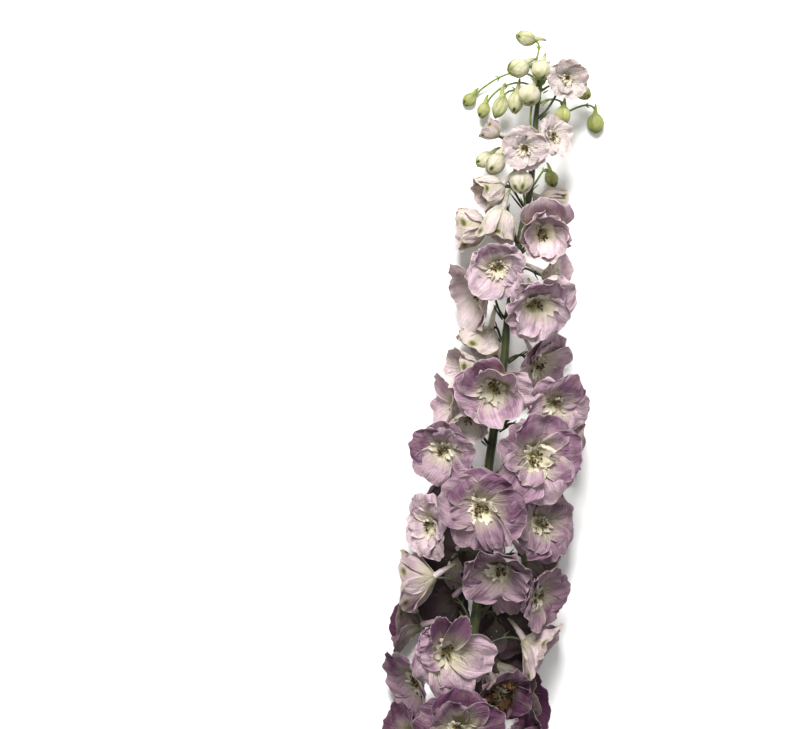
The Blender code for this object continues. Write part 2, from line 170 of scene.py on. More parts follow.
def flower_frame(facing, roll):
    """3 x 3 matrix whose columns are the flower's side, its upper (spurred) side and its face."""
    z = unit(facing)
    y = np.array((0.0, 1.0, 0.0)) - z * z[1]
    if np.linalg.norm(y) < 0.2:
        y = np.array((0.0, 0.0, 1.0)) - z * z[2]
    y = unit(y)
    x = np.cross(y, z)
    m = np.stack((x, y, z), axis=1)
    c, s = math.cos(math.radians(roll)), math.sin(math.radians(roll))
    return m @ np.array(((c, -s, 0), (s, c, 0), (0, 0, 1.0)))


def bezier(p0, p1, p2, p3, count):
    t = np.linspace(0, 1, count)[:, None]
    s = 1 - t
    return p0 * s ** 3 + p1 * 3 * s * s * t + p2 * 3 * s * t * t + p3 * t ** 3


def lift(p, low, push):
    """Bend points that would pass through the surface back up onto it."""
    top = low + FLOOR_SOFT
    z = p[..., 2]
    under = z < top
    new = np.where(under, low + FLOOR_SOFT * np.exp(np.minimum(z - top, 0) / FLOOR_SOFT), z)
    d = new - z
    out = p.copy()
    out[..., 0] += push[..., 0] * d * 0.7
    out[..., 1] += push[..., 1] * d * 0.7
    out[..., 2] = new
    return out


class Noise:
    """Smooth repeatable noise made from a few seeded waves."""

    def __init__(self, rng, dims, octaves=4, lo=0.6, hi=2.4):
        self.k = rng.normal(0, 1, (octaves, dims))
        self.k /= np.linalg.norm(self.k, axis=1)[:, None]
        self.k *= np.geomspace(lo, hi, octaves)[:, None] * 2 * math.pi
        self.p = rng.uniform(0, 2 * math.pi, octaves)
        self.a = 1.0 / np.geomspace(lo, hi, octaves) ** 0.7
        self.a /= self.a.sum()

    def __call__(self, *xs):
        xs = np.broadcast_arrays(*xs)
        total = np.zeros(xs[0].shape)
        for k, p, a in zip(self.k, self.p, self.a):
            total += a * np.sin(sum(c * x for c, x in zip(k, xs)) + p)
        return total


class Buffer:
    """Closed shells collected into one mesh, with two vectors on each vertex for the shader."""

    def __init__(self):
        self.v, self.q, self.t, self.qm, self.tm, self.a, self.b, self.c = [], [], [], [], [], [], [], []
        self.n = 0

    def add(self, verts, quads, tris, mat, a, b, c=(0.0, 0.0, 0.0)):
        self.v.append(verts)
        self.a.append(a)
        self.b.append(b)
        self.c.append(np.broadcast_to(np.asarray(c, float), (len(verts), 3)))
        if len(quads):
            self.q.append(np.asarray(quads, np.int64) + self.n)
            self.qm.append(np.full(len(quads), mat))
        if len(tris):
            self.t.append(np.asarray(tris, np.int64) + self.n)
            self.tm.append(np.full(len(tris), mat))
        self.n += len(verts)

    def grid(self, P, thick, mat, u, v, age, rnd, spot, extra=(0.0, 0.0, 0.0)):
        """Closed thin solid round a grid of points; its front side looks along du x dv."""
        nu, nv = P.shape[:2]
        du = np.gradient(P, axis=0)
        dv = np.gradient(P, axis=1)
        n = np.cross(du, dv)
        n /= np.maximum(np.linalg.norm(n, axis=2, keepdims=True), 1e-12)
        half = thick[..., None] * 0.5
        front, back = P + n * half, P - n * half
        for side in (front, back):
            side[..., 2] = np.maximum(side[..., 2], 0.00006)
        flat = lambda arr: arr.reshape(-1, arr.shape[-1])
        verts = np.concatenate((flat(front), flat(back)))
        idx = np.arange(nu * nv).reshape(nu, nv)
        off = nu * nv
        F = np.stack((idx[:-1, :-1], idx[1:, :-1], idx[1:, 1:], idx[:-1, 1:]), -1).reshape(-1, 4)
        B = F[:, ::-1] + off
        sides = []
        a0, a1 = idx[:-1, 0], idx[1:, 0]
        sides.append(np.stack((a0, a0 + off, a1 + off, a1), -1))
        a0, a1 = idx[:-1, -1], idx[1:, -1]
        sides.append(np.stack((a0, a1, a1 + off, a0 + off), -1))
        a0, a1 = idx[0, :-1], idx[0, 1:]
        sides.append(np.stack((a0, a1, a1 + off, a0 + off), -1))
        a0, a1 = idx[-1, :-1], idx[-1, 1:]
        sides.append(np.stack((a0, a0 + off, a1 + off, a1), -1))
        U = np.broadcast_to(u, (nu, nv)).reshape(-1)
        V = np.broadcast_to(v, (nu, nv)).reshape(-1)
        A = np.stack((U, V, np.full(off, age)), -1)
        front_b = np.stack((np.full(off, rnd), np.ones(off), np.full(off, spot)), -1)
        back_b = front_b.copy()
        back_b[:, 1] = 0.0
        self.add(verts, np.concatenate([F, B] + sides), [], mat,
                 np.concatenate((A, A)), np.concatenate((front_b, back_b)), extra)

    def tube(self, pts, radii, sides, mat, age, rnd, flat=1.0, up=None, twist=0.0, spot=0.0):
        pts = np.asarray(pts, float)
        radii = np.asarray(radii, float)
        n = len(pts)
        tan = np.gradient(pts, axis=0)
        tan /= np.maximum(np.linalg.norm(tan, axis=1, keepdims=True), 1e-12)
        ref = np.array((0.0, 0.0, 1.0)) if up is None else unit(up)
        if abs(np.dot(ref, tan[0])) > 0.95:
            ref = np.array((1.0, 0.0, 0.0))
        x = unit(ref - tan[0] * np.dot(ref, tan[0]))
        rings = []
        ang = np.linspace(0, 2 * math.pi, sides, endpoint=False)
        for i in range(n):
            x = unit(x - tan[i] * np.dot(x, tan[i]))
            y = np.cross(tan[i], x)
            a = ang + twist * i / (n - 1)
            ring = pts[i] + (np.cos(a)[:, None] * x * flat + np.sin(a)[:, None] * y) * radii[i]
            rings.append(ring)
        verts = np.concatenate(rings + [pts[:1], pts[-1:]])
        quads = []
        for i in range(n - 1):
            j = np.arange(sides)
            k = (j + 1) % sides
            quads.append(np.stack((i * sides + j, i * sides + k, (i + 1) * sides + k,
                                   (i + 1) * sides + j), -1))
        quads = np.concatenate(quads)
        j = np.arange(sides)
        k = (j + 1) % sides
        c0, c1 = n * sides, n * sides + 1
        t0 = np.stack((np.full(sides, c0), k, j), -1)
        last = (n - 1) * sides
        t1 = np.stack((np.full(sides, c1), last + j, last + k), -1)
        s = np.concatenate((np.repeat(np.linspace(0, 1, n), sides), [0.0, 1.0]))
        w = np.concatenate((np.tile(np.cos(ang), n), [0.0, 0.0]))
        A = np.stack((s, w, np.full(len(s), age)), -1)
        B = np.stack((np.full(len(s), rnd), np.ones(len(s)), np.full(len(s), spot)), -1)
        verts[:, 2] = np.maximum(verts[:, 2], 0.00006)
        self.add(verts, quads, np.concatenate((t0, t1)), mat, A, B)

    def egg(self, centre, axes, size, mat, age, rnd, seg=8, ring=6):
        """Rounded body; axes is a 3 x 3 matrix of columns, size its three half lengths."""
        verts = [np.array((0, 0, 1.0))]
        for i in range(1, ring):
            p = math.pi * i / ring
            for j in range(seg):
                a = 2 * math.pi * j / seg
                verts.append(np.array((math.sin(p) * math.cos(a), math.sin(p) * math.sin(a), math.cos(p))))
        verts.append(np.array((0, 0, -1.0)))
        local = np.array(verts) * np.asarray(size)
        world = local @ np.asarray(axes).T + centre
        world[:, 2] = np.maximum(world[:, 2], 0.00006)
        tris, quads = [], []
        for j in range(seg):
            k = (j + 1) % seg
            tris.append((0, 1 + j, 1 + k))
            last = 1 + (ring - 2) * seg
            tris.append((last + j, len(verts) - 1, last + k))
            for i in range(ring - 2):
                a = 1 + i * seg
                quads.append((a + j, a + seg + j, a + seg + k, a + k))
        A = np.stack((np.asarray(verts)[:, 2] * 0.5 + 0.5, np.asarray(verts)[:, 0],
                      np.full(len(verts), age)), -1)
        B = np.stack((np.full(len(verts), rnd), np.ones(len(verts)), np.zeros(len(verts))), -1)
        self.add(world, quads, tris, mat, A, B)

    def make(self, name, slots):
        verts = np.concatenate(self.v)
        quads = np.concatenate(self.q) if self.q else np.zeros((0, 4), np.int64)
        tris = np.concatenate(self.t) if self.t else np.zeros((0, 3), np.int64)
        mesh = bpy.data.meshes.new(name)
        loops = np.concatenate((quads.reshape(-1), tris.reshape(-1)))
        counts = np.concatenate((np.full(len(quads), 4), np.full(len(tris), 3)))
        starts = np.concatenate(([0], np.cumsum(counts)[:-1]))
        mesh.vertices.add(len(verts))
        mesh.vertices.foreach_set("co", verts.astype(np.float32).reshape(-1))
        mesh.loops.add(len(loops))
        mesh.loops.foreach_set("vertex_index", loops.astype(np.int32))
        mesh.polygons.add(len(counts))
        mesh.polygons.foreach_set("loop_start", starts.astype(np.int32))
        mats = np.concatenate([m for m in self.qm] + [m for m in self.tm]).astype(np.int32)
        used = sorted(set(mats.tolist()))
        remap = np.zeros(max(used) + 1, np.int32)
        for i, m in enumerate(used):
            remap[m] = i
            mesh.materials.append(MATS[MAT_ORDER[m]] if slots is None else slots[m])
        mesh.polygons.foreach_set("material_index", remap[mats])
        mesh.update(calc_edges=True)
        mesh.validate()
        for key, data in (("pa", self.a), ("pb", self.b), ("pc", self.c)):
            att = mesh.attributes.new(key, "FLOAT_VECTOR", "POINT")
            att.data.foreach_set("vector", np.concatenate(data).astype(np.float32).reshape(-1))
        mesh.shade_smooth()
        mesh.set_sharp_from_angle(angle=math.radians(62))
        ob = bpy.data.objects.new(name, mesh)
        bpy.context.scene.collection.objects.link(ob)
        return ob


# ------------------------------------------------------------------ sepals and small petals
def sepal_local(rng, L, W, alphas, theta, nu=18, nv=19, rho0=0.0012, z0=0.0, cup=(0.9, 0.45, 0.15),
                cone=0.2, layer=0.0, swap=0.0, ruffle=0.0011, frill=0.0, bumpy=0.0005, pleat=0.0, tip_round=0.42,
                point=0.0, jag=0.0, teeth=4, base=0.30, end=0.5, curl=0.0, crease=0.0004, fold=0.0,
                phi_max=1.05, skew=0.0, notch_in=0.0, wide=0.60, roll=0.0):
    """Grid of points of one sepal in the flower's own frame (+Z out of the face)."""
    u = np.linspace(0, 1, nu)[:, None] ** 0.92
    v = np.linspace(-1, 1, nv)[None, :]
    v = v * (1.12 - 0.12 * v * v)
    notch = Noise(rng, 1, 3, 0.5, 1.6)
    side = Noise(rng, 2, 3, 0.6, 1.8)
    wav = Noise(rng, 2, 4, 0.5, 1.7)
    rip = Noise(rng, 2, 3, 0.9, 1.9)
    fri = Noise(rng, 2, 3, 2.6, 4.4)
    av = np.abs(v)
    um = wide
    q = np.clip((u - um) / (1 - um), 0, 1)
    pv = np.minimum(av, 1.0)
    lf = 1.0 + (point * (1 - pv) ** 2 + 0.05 * notch(v * 1.4) - notch_in * np.exp(-(v / 0.16) ** 2)) * q
    if jag:
        ph = rng.uniform(0, 1)
        tri = 2 * np.abs(((v * teeth / 2 + ph) % 1.0) - 0.5)
        lf = lf * (1.0 - jag * tri * (0.75 + 0.25 * np.sin(v * 7 + ph * 9)))
    arc = np.sqrt(1.0 - tip_round * pv ** 2)
    s = np.clip(np.where(u < um, u + 0.0 * v, um + (1 - um) * q * arc) * lf, 0.0, 1.25)
    rise = np.sin(np.pi / 2 * np.minimum(u / um, 1.0)) ** 1.15
    wp = base + (1 - base) * rise
    wp = wp * np.sqrt(1.0 - (1 - end) * q ** 2)
    hw = W * wp * (1 + 0.045 * side(u * 1.6, np.sign(v) * 0.7) * np.minimum(1, u * 2))
    # meridian: integrate the angle from the flower's axis
    m = 140
    ss = np.linspace(0, 1.25, m)
    knots = np.linspace(0, 1, len(alphas))
    al = np.interp(np.minimum(ss, 1.0), knots, np.radians(alphas))
    kernel = np.hanning(25)
    al = np.convolve(np.pad(al, 12, mode="edge"), kernel / kernel.sum(), mode="valid")
    step = L * (ss[1] - ss[0])
    rho = rho0 + np.concatenate(([0], np.cumsum(np.sin((al[1:] + al[:-1]) / 2) * step)))
    zz = z0 + np.concatenate(([0], np.cumsum(np.cos((al[1:] + al[:-1]) / 2) * step)))
    R = np.interp(s, ss, rho)
    Z = np.interp(s, ss, zz)
    A = np.interp(s, ss, al)
    kap = np.interp(u, (0.0, 0.5, 1.0), cup) + np.zeros_like(v)
    kap = np.where(np.abs(kap) < 0.02, 0.02, kap)
    psi = kap * v
    X = hw / kap * np.sin(psi)
    Y = hw / kap * (1 - np.cos(psi))
    # displacement out of the face: edges ruffle, the face undulates, the midrib is a groove
    edge = np.clip((av - 0.30) / 0.70, 0, 1) ** 1.5
    tip = np.clip((u - 0.50) / 0.50, 0, 1) ** 1.5
    E = np.sqrt(edge ** 2 * np.clip(u * 2.2, 0, 1) + tip ** 2)
    D = ruffle * E * rip(u * 1.25, v * 0.95)
    D = D + frill * E ** 2 * fri(u * 0.9, v * 0.9)
    D = D + bumpy * wav(u * 1.4, v * 0.8) * np.minimum(1, u * 3)
    if pleat:
        ph = rng.uniform(0, 6.28)
        n = rng.uniform(2.2, 3.4)
        D = D + pleat * np.cos(math.pi * n * v + ph) * u ** 1.3 * (1 - 0.35 * av)
    D = D - crease * np.exp(-(v / 0.13) ** 2) * np.sin(np.pi * np.clip(u, 0, 1)) ** 0.7
    if fold:
        # a few sharp creases fanning out from the claw
        for _ in range(5):
            at, wd, lean = rng.uniform(-0.9, 0.9), rng.uniform(0.07, 0.16), rng.uniform(-0.25, 0.25)
            start = rng.uniform(0.10, 0.5)
            d = (v - at - lean * u) / wd
            D = D + fold * rng.choice((-1.0, 1.0)) * rng.uniform(0.4, 1.0) * np.exp(-np.abs(d) ** 1.4) * \
                np.clip((u - start) / 0.25, 0, 1) * (0.35 + 0.65 * u)
    D = D + layer + swap * v * np.clip(u * 2.0, 0, 1)
    D = D - curl * (edge ** 2) * u - roll * tip ** 2
    # frame of the flat sepal
    ct, st = math.cos(theta), math.sin(theta)
    rad = np.array((ct, st, 0.0))
    tan = np.array((-st, ct, 0.0))
    Nr, Nz = -np.cos(A), np.sin(A)
    off = Y + D
    Xs = X + skew * L * u ** 2
    flat = (rad * (R + Nr * off)[..., None] + tan * Xs[..., None])
    flat[..., 2] = Z + Nz * off
    # the same sepal wrapped round the flower's axis
    phi = phi_max * np.tanh(Xs / np.maximum(R, 1e-5) / phi_max)
    th = theta + phi
    Rc = R + Nr * D
    wrap = np.stack((Rc * np.cos(th), Rc * np.sin(th), Z + Nz * D), -1)
    P = flat * (1 - cone) + wrap * cone
    return P, u, v, edge


def place(P, M, eye, low, length):
    W = P @ M.T + eye
    facing = M[:, 2]
    radial = W - eye
    push = np.zeros_like(W)
    push[..., :2] = facing[:2] + radial[..., :2] * (0.5 / length)
    norm = np.linalg.norm(push[..., :2], axis=-1, keepdims=True)
    push[..., :2] /= np.maximum(norm, 0.01)
    return lift(W, low, push)


def add_sepal(buf, rng, M, eye, length, mat, age, spot, thick=0.00030, extra=(0.0, 0.0, 0.0), **kw):
    P, u, v, edge = sepal_local(rng, **kw)
    W = place(P, M, eye, 0.00022, length)
    t = thick * (1.0 - 0.45 * edge) + 0.0003 * np.exp(-u * 9) + np.zeros_like(edge)
    buf.grid(W, t, mat, u, v, age, rng.uniform(0, 1), spot, extra)


def stalk_path(base, arrive, y_leave, count=16, tail=0.0008):
    foot, r = stem_at(y_leave)
    out = base - foot
    out[1] = 0.0
    out = unit(out)
    start = foot + out * (r + STALK_RADIUS * 0.9 + STALK_GAP)
    span = float(np.linalg.norm(base - start))
    leave = unit(out * 0.75 + np.array((0.0, 0.66, 0.0)))
    pts = bezier(start, start + leave * span * 0.42, base - arrive * max(span * 0.36, 0.006), base, count)
    pts[:, 2] = np.maximum(pts[:, 2], STALK_RADIUS * 1.2)
    root_pt = foot + out * (r - 0.0012) - np.array((0.0, 0.0012, 0.0))
    return np.concatenate((root_pt[None], pts)), out


def blade(buf, rng, start, heading, length, width, droop, age):
    """Narrow pointed bract."""
    n = 8
    t = np.linspace(0, 1, n)
    side = unit(np.cross(heading, (0.0, 0.0, 1.0)) + rng.normal(0, 0.2, 3))
    bend = unit(np.cross(side, heading))
    pts = start + heading * (t * length)[:, None] - bend * (droop * length * t ** 2)[:, None]
    pts[:, 2] = np.maximum(pts[:, 2], 0.0004)
    rad = width * 0.5 * np.sin(np.pi * np.clip(t * 0.80 + 0.20, 0, 1)) ** 0.8 + 0.00010
    buf.tube(pts, rad, 6, GREEN, age, rng.uniform(0, 1), flat=0.30, up=bend)


def add_stalk(buf, rng, base, arrive, y_leave, radius, age, bract=1.0):
    pts, out = stalk_path(base, arrive, y_leave)
    n = len(pts)
    t = np.linspace(0, 1, n)
    rad = radius * (1.0 + 0.9 * np.exp(-t * 16) + 0.55 * np.exp(-(1 - t) * 14))
    rad = rad * (1 + 0.04 * np.sin(t * 31 + rng.uniform(0, 6)))
    buf.tube(pts, rad, 9, GREEN, age, rng.uniform(0, 1))
    # two small bracts high on the stalk and one at its foot
    k = int(n * rng.uniform(0.55, 0.72))
    tan = unit(pts[k + 1] - pts[k])
    side = unit(np.cross(tan, (0.3, 0.2, 1.0)))
    for sg in (1, -1):
        d = unit(tan * 0.9 + side * sg * 0.55)
        blade(buf, rng, pts[k] + side * sg * radius * 0.5, d, rng.uniform(4.0, 7.0) * MM * bract, 0.9 * MM,
              rng.uniform(-0.1, 0.3), age * 0.9)
    foot = pts[1]
    d = unit(out * 0.8 + np.array((0.0, 0.75, -0.1)) + rng.normal(0, 0.12, 3))
    under = foot - np.array((0.0, 0.0026, 0.0))
    blade(buf, rng, under, d, rng.uniform(8.0, 15.0) * MM * bract, 1.4 * MM * bract, rng.uniform(0.0, 0.35), age)
    return pts


# ------------------------------------------------------------------ whole flowers
def blend_angles(openness):
    keys = (0.0, 0.25, 0.5, 0.75, 1.0)
    rows = ((66, 22, -25, -55), (72, 38, 4, -12), (68, 48, 22, 26), (42, 54, 66, 72), (40, 64, 86, 100))
    return [float(np.interp(openness, keys, [r[i] for r in rows])) for i in range(4)]


def age_at(y):
    """0 at the green tip, 1 on the oldest florets."""
    return float(np.interp(y, (-60, 10, 130, 200, 250, 290, 330, 360),
                           (1.0, 0.95, 0.86, 0.79, 0.62, 0.50, 0.42, 0.25)))


# Each sepal: direction round the eye (90 is up), length, width, tier (higher is nearer the viewer),
# angle added to its lean, depth of colour (deeper lilac, partly painted shade that is strongest on the
# upper sepals), and odd changes to its form. Flowers left out use the usual ring.
LOOK = {
    "bud_01": dict(age=0.26), "bud_02": dict(age=0.31), "bud_03": dict(age=0.31), "bud_04": dict(age=0.36),
    "bud_05": dict(age=0.27), "bud_06": dict(age=0.22), "bud_07": dict(age=0.15), "bud_08": dict(age=0.12),
    "bud_09": dict(age=0.10), "bud_10": dict(age=0.09), "bud_11": dict(age=0.14), "bud_12": dict(age=0.31),
    "bud_13": dict(age=0.38), "bud_14": dict(age=0.42), "bud_15": dict(age=0.12),
    "half_open_01": dict(age=0.66),
    "half_open_02": dict(age=0.57, openness=0.40, angles=(76, 38, 6, 8)),
    "half_open_03": dict(age=0.58, openness=0.40, angles=(78, 34, 2, 6)),
    "half_open_04": dict(age=0.58),
    "half_open_05": dict(age=0.57),
    "half_open_06": dict(age=0.55, openness=0.40, angles=(80, 52, 12, -2)),
    "half_open_07": dict(openness=0.28, angles=(62, 26, -8, -18)),
    "floret_01": dict(age=0.53, bee=0.34),
    "floret_02": dict(age=0.56),
    "floret_03": dict(age=0.55),
    "floret_04": dict(age=0.57, openness=0.52, angles=(76, 44, 10, 8)),
    "floret_08": dict(age=0.64, openness=0.62),
    "floret_10": dict(age=0.74),
    "floret_15": dict(age=0.74),
    "floret_18": dict(age=0.84, openness=0.58),
    "floret_22": dict(age=0.74, openness=0.60),
    "floret_24": dict(age=0.70),
    # painted_shade: amount added to the colour depth of the hidden florets under and within the spike, so that they
    # render dark as painted shade
    "floret_26": dict(painted_shade=0.9), "floret_28": dict(painted_shade=0.8), "floret_29": dict(painted_shade=0.7),
    "floret_30": dict(painted_shade=0.8), "floret_34": dict(painted_shade=1.5), "floret_35": dict(painted_shade=1.5),
    "floret_36": dict(painted_shade=1.4), "floret_37": dict(painted_shade=1.5),
    "floret_31": dict(age=0.97), "floret_20": dict(age=0.95),
    "floret_14": dict(openness=0.88, spot=0.35, fan=0.56, bee=0.38, ruffle=1.25, frill=1.4, sepals=(
        (112, 0.86, 1.10, 1.2, 2, 0.85), (44, 0.86, 1.02, 0.5, 0, 1.05), (-6, 0.95, 1.05, 1.5, 6, 0.60, dict(pleat=1.9)),
        (-48, 1.00, 0.50, -0.6, -10, 0.45, dict(cup=(1.2, 1.3, 1.1))), (-64, 0.94, 0.52, 0.5, -14, 0.40, dict(cup=(1.2, 1.2, 1.0))),
        (-100, 0.88, 0.98, 0.2, 4, 0.25), (166, 0.92, 1.05, -0.6, 4, 0.45), (204, 0.66, 0.62, 1.4, -8, 0.30))),
    "floret_19": dict(age=0.90, openness=0.92, spot=0.5, bee=0.40, fan=0.62, sepals=(
        (112, 1.02, 0.50, 1.4, -14, 1.10, dict(cup=(1.5, 1.4, 1.2), ruffle=0.35, notch=0.0)),
        (74, 1.02, 0.48, 2.9, -20, 1.00, dict(cup=(1.5, 1.4, 1.2), ruffle=0.35, notch=0.0)),
        (40, 0.60, 0.70, -1.4, 4, 1.0), (2, 1.04, 0.80, 1.4, 4, 0.05), (-46, 0.84, 0.85, 2.0, 4, 0.15),
        (-76, 1.16, 0.74, -0.4, 8, 0.0, dict(point=0.16, spot=1.4)), (-130, 0.84, 0.85, 1.0, 6, 0.15),
        (170, 0.66, 0.70, 0.8, -2, 0.85, dict(frill=2.2)), (190, 0.58, 0.60, 2.4, -14, 0.7, dict(frill=2.5)),
        (150, 0.60, 0.60, 0.2, -6, 0.8, dict(frill=2.0)))),
    "floret_05": dict(openness=0.64, spot=0.8, fan=0.52, sepals=(
        (92, 1.08, 1.25, 0.2, 2, 0.75), (28, 0.94, 1.05, 0.8, -14, 0.9), (-30, 0.92, 1.05, -0.4, -22, 0.35),
        (-86, 0.86, 1.15, 0.9, -28, 0.30), (205, 0.84, 1.10, 0.2, -26, 0.30), (150, 0.90, 1.05, -0.9, -16, 0.6),
        (60, 0.72, 0.80, 2.3, -16, 1.1))),
    "floret_06": dict(openness=0.80, sepals=(
        (112, 0.92, 1.10, 0.6, -4, 0.6), (52, 0.88, 0.98, -0.2, -2, 0.5), (4, 0.86, 0.95, 1.0, -8, 0.3),
        (-62, 0.92, 1.05, 0.0, 2, 0.2), (-128, 1.05, 1.10, 0.8, 2, 0.2), (176, 0.86, 0.98, -0.8, 0, 0.45),
        (-30, 0.62, 0.60, 1.8, -14, 0.3))),
    "floret_07": dict(openness=0.76, bee=0.52, fan=0.60, frill=1.3, sepals=(
        (84, 0.90, 1.05, 0.6, -10, 0.9), (44, 1.04, 1.10, -0.8, 6, 0.5, dict(frill=1.8)), (-18, 0.88, 0.98, 0.9, -6, 0.35),
        (-84, 0.88, 1.12, 0.4, -14, 0.35), (-122, 0.84, 0.80, 1.5, -20, 0.3), (196, 0.86, 0.95, -0.4, -10, 0.5),
        (140, 0.84, 0.90, -1.2, 0, 0.7))),
    "floret_09": dict(openness=0.74, bee=0.44, sepals=(
        (74, 1.00, 1.20, 1.6, -26, 0.55, dict(cup=(1.2, 1.2, 0.9), olive=1.3)), (134, 1.00, 1.10, 0.6, -12, 0.75),
        (188, 0.96, 0.95, -0.4, 0, 0.75), (-58, 1.00, 1.10, 1.0, -12, 0.55), (0, 0.92, 0.95, -1.2, 8, 0.2),
        (-118, 0.90, 1.00, 0.0, 0, 0.5))),
    "floret_11": dict(openness=0.76, bee=0.44),
    "floret_12": dict(openness=0.80, bee=0.44, sepals=(
        (76, 1.10, 0.92, 0.6, -6, 0.85, dict(point=0.14, ruffle=0.7)), (150, 0.95, 1.0, 0.2, 0, 0.6),
        (206, 0.94, 1.0, 1.0, -6, 0.4), (-66, 0.88, 1.0, 0.0, 0, 0.15), (-8, 1.02, 1.0, -0.6, 4, 0.05, dict(spot=1.2)),
        (30, 0.72, 0.7, 1.4, -8, 0.4))),
    "floret_13": dict(openness=0.78, bee=0.46, fan=0.42),
    "floret_16": dict(age=0.93, openness=0.72, bee=0.40, fan=0.50, sepals=(
        (100, 0.92, 1.10, 0.2, -8, 0.9), (36, 0.90, 1.10, 0.8, -4, 0.8), (-22, 0.88, 0.95, 0.0, -16, 0.5),
        (-72, 1.18, 0.72, 1.4, 16, 0.15, dict(ruffle=0.6)), (-140, 0.98, 0.95, 0.8, -8, 0.35), (166, 0.90, 1.0, -0.6, -4, 0.7))),
    "floret_23": dict(openness=0.70, sepals=(
        (102, 1.00, 1.0, 0.2, 2, 0.5), (40, 0.92, 0.90, -0.6, 0, 0.9), (-18, 1.00, 0.95, 0.4, 4, 0.95),
        (-90, 0.84, 0.90, 0.0, -4, 0.7, dict(wilt=0.5)), (196, 0.84, 0.9, -0.4, -4, 0.6, dict(wilt=0.35)),
        (60, 0.62, 0.5, 1.6, -22, 0.5, dict(wilt=1.0, frill=4.0, ruffle=1.8)),
        (170, 0.60, 0.5, 2.2, -30, 0.5, dict(wilt=1.2, frill=5.0, ruffle=2.0)),
        (-60, 0.58, 0.6, 2.0, -26, 0.5, dict(wilt=1.2, frill=5.0, ruffle=2.0)),
        (-130, 0.55, 0.5, 2.8, -36, 0.5, dict(wilt=1.2, frill=5.0, ruffle=2.0)))),
}


def usual_ring(rng, openness, look, sideways):
    rows = []
    tier = (0.2, -0.9, 0.8, -0.2, 1.0)
    for k in range(5):
        th = 90 + 72 * k + rng.uniform(-7, 7)
        # colour depth: random deeper lilac plus painted shade that grows towards the upper sepals
        rows.append((th, rng.uniform(0.92, 1.03), rng.uniform(0.94, 1.10), tier[k], rng.normal(0, 4),
                     rng.uniform(0.2, 0.8) + 0.25 * math.sin(math.radians(th))))
    count = look.get("inner", 0 if sideways or openness < 0.6 else 1 + int(rng.integers(0, 2)))
    start = rng.uniform(0, 360)
    for k in range(count):
        th = start + 360.0 * k / max(count, 1) + rng.uniform(-20, 20)
        rows.append((th, rng.uniform(0.62, 0.82), rng.uniform(0.52, 0.78), 1.8 + 0.5 * k,
                     -rng.uniform(4, 18), rng.uniform(0.1, 0.6)))
    return rows


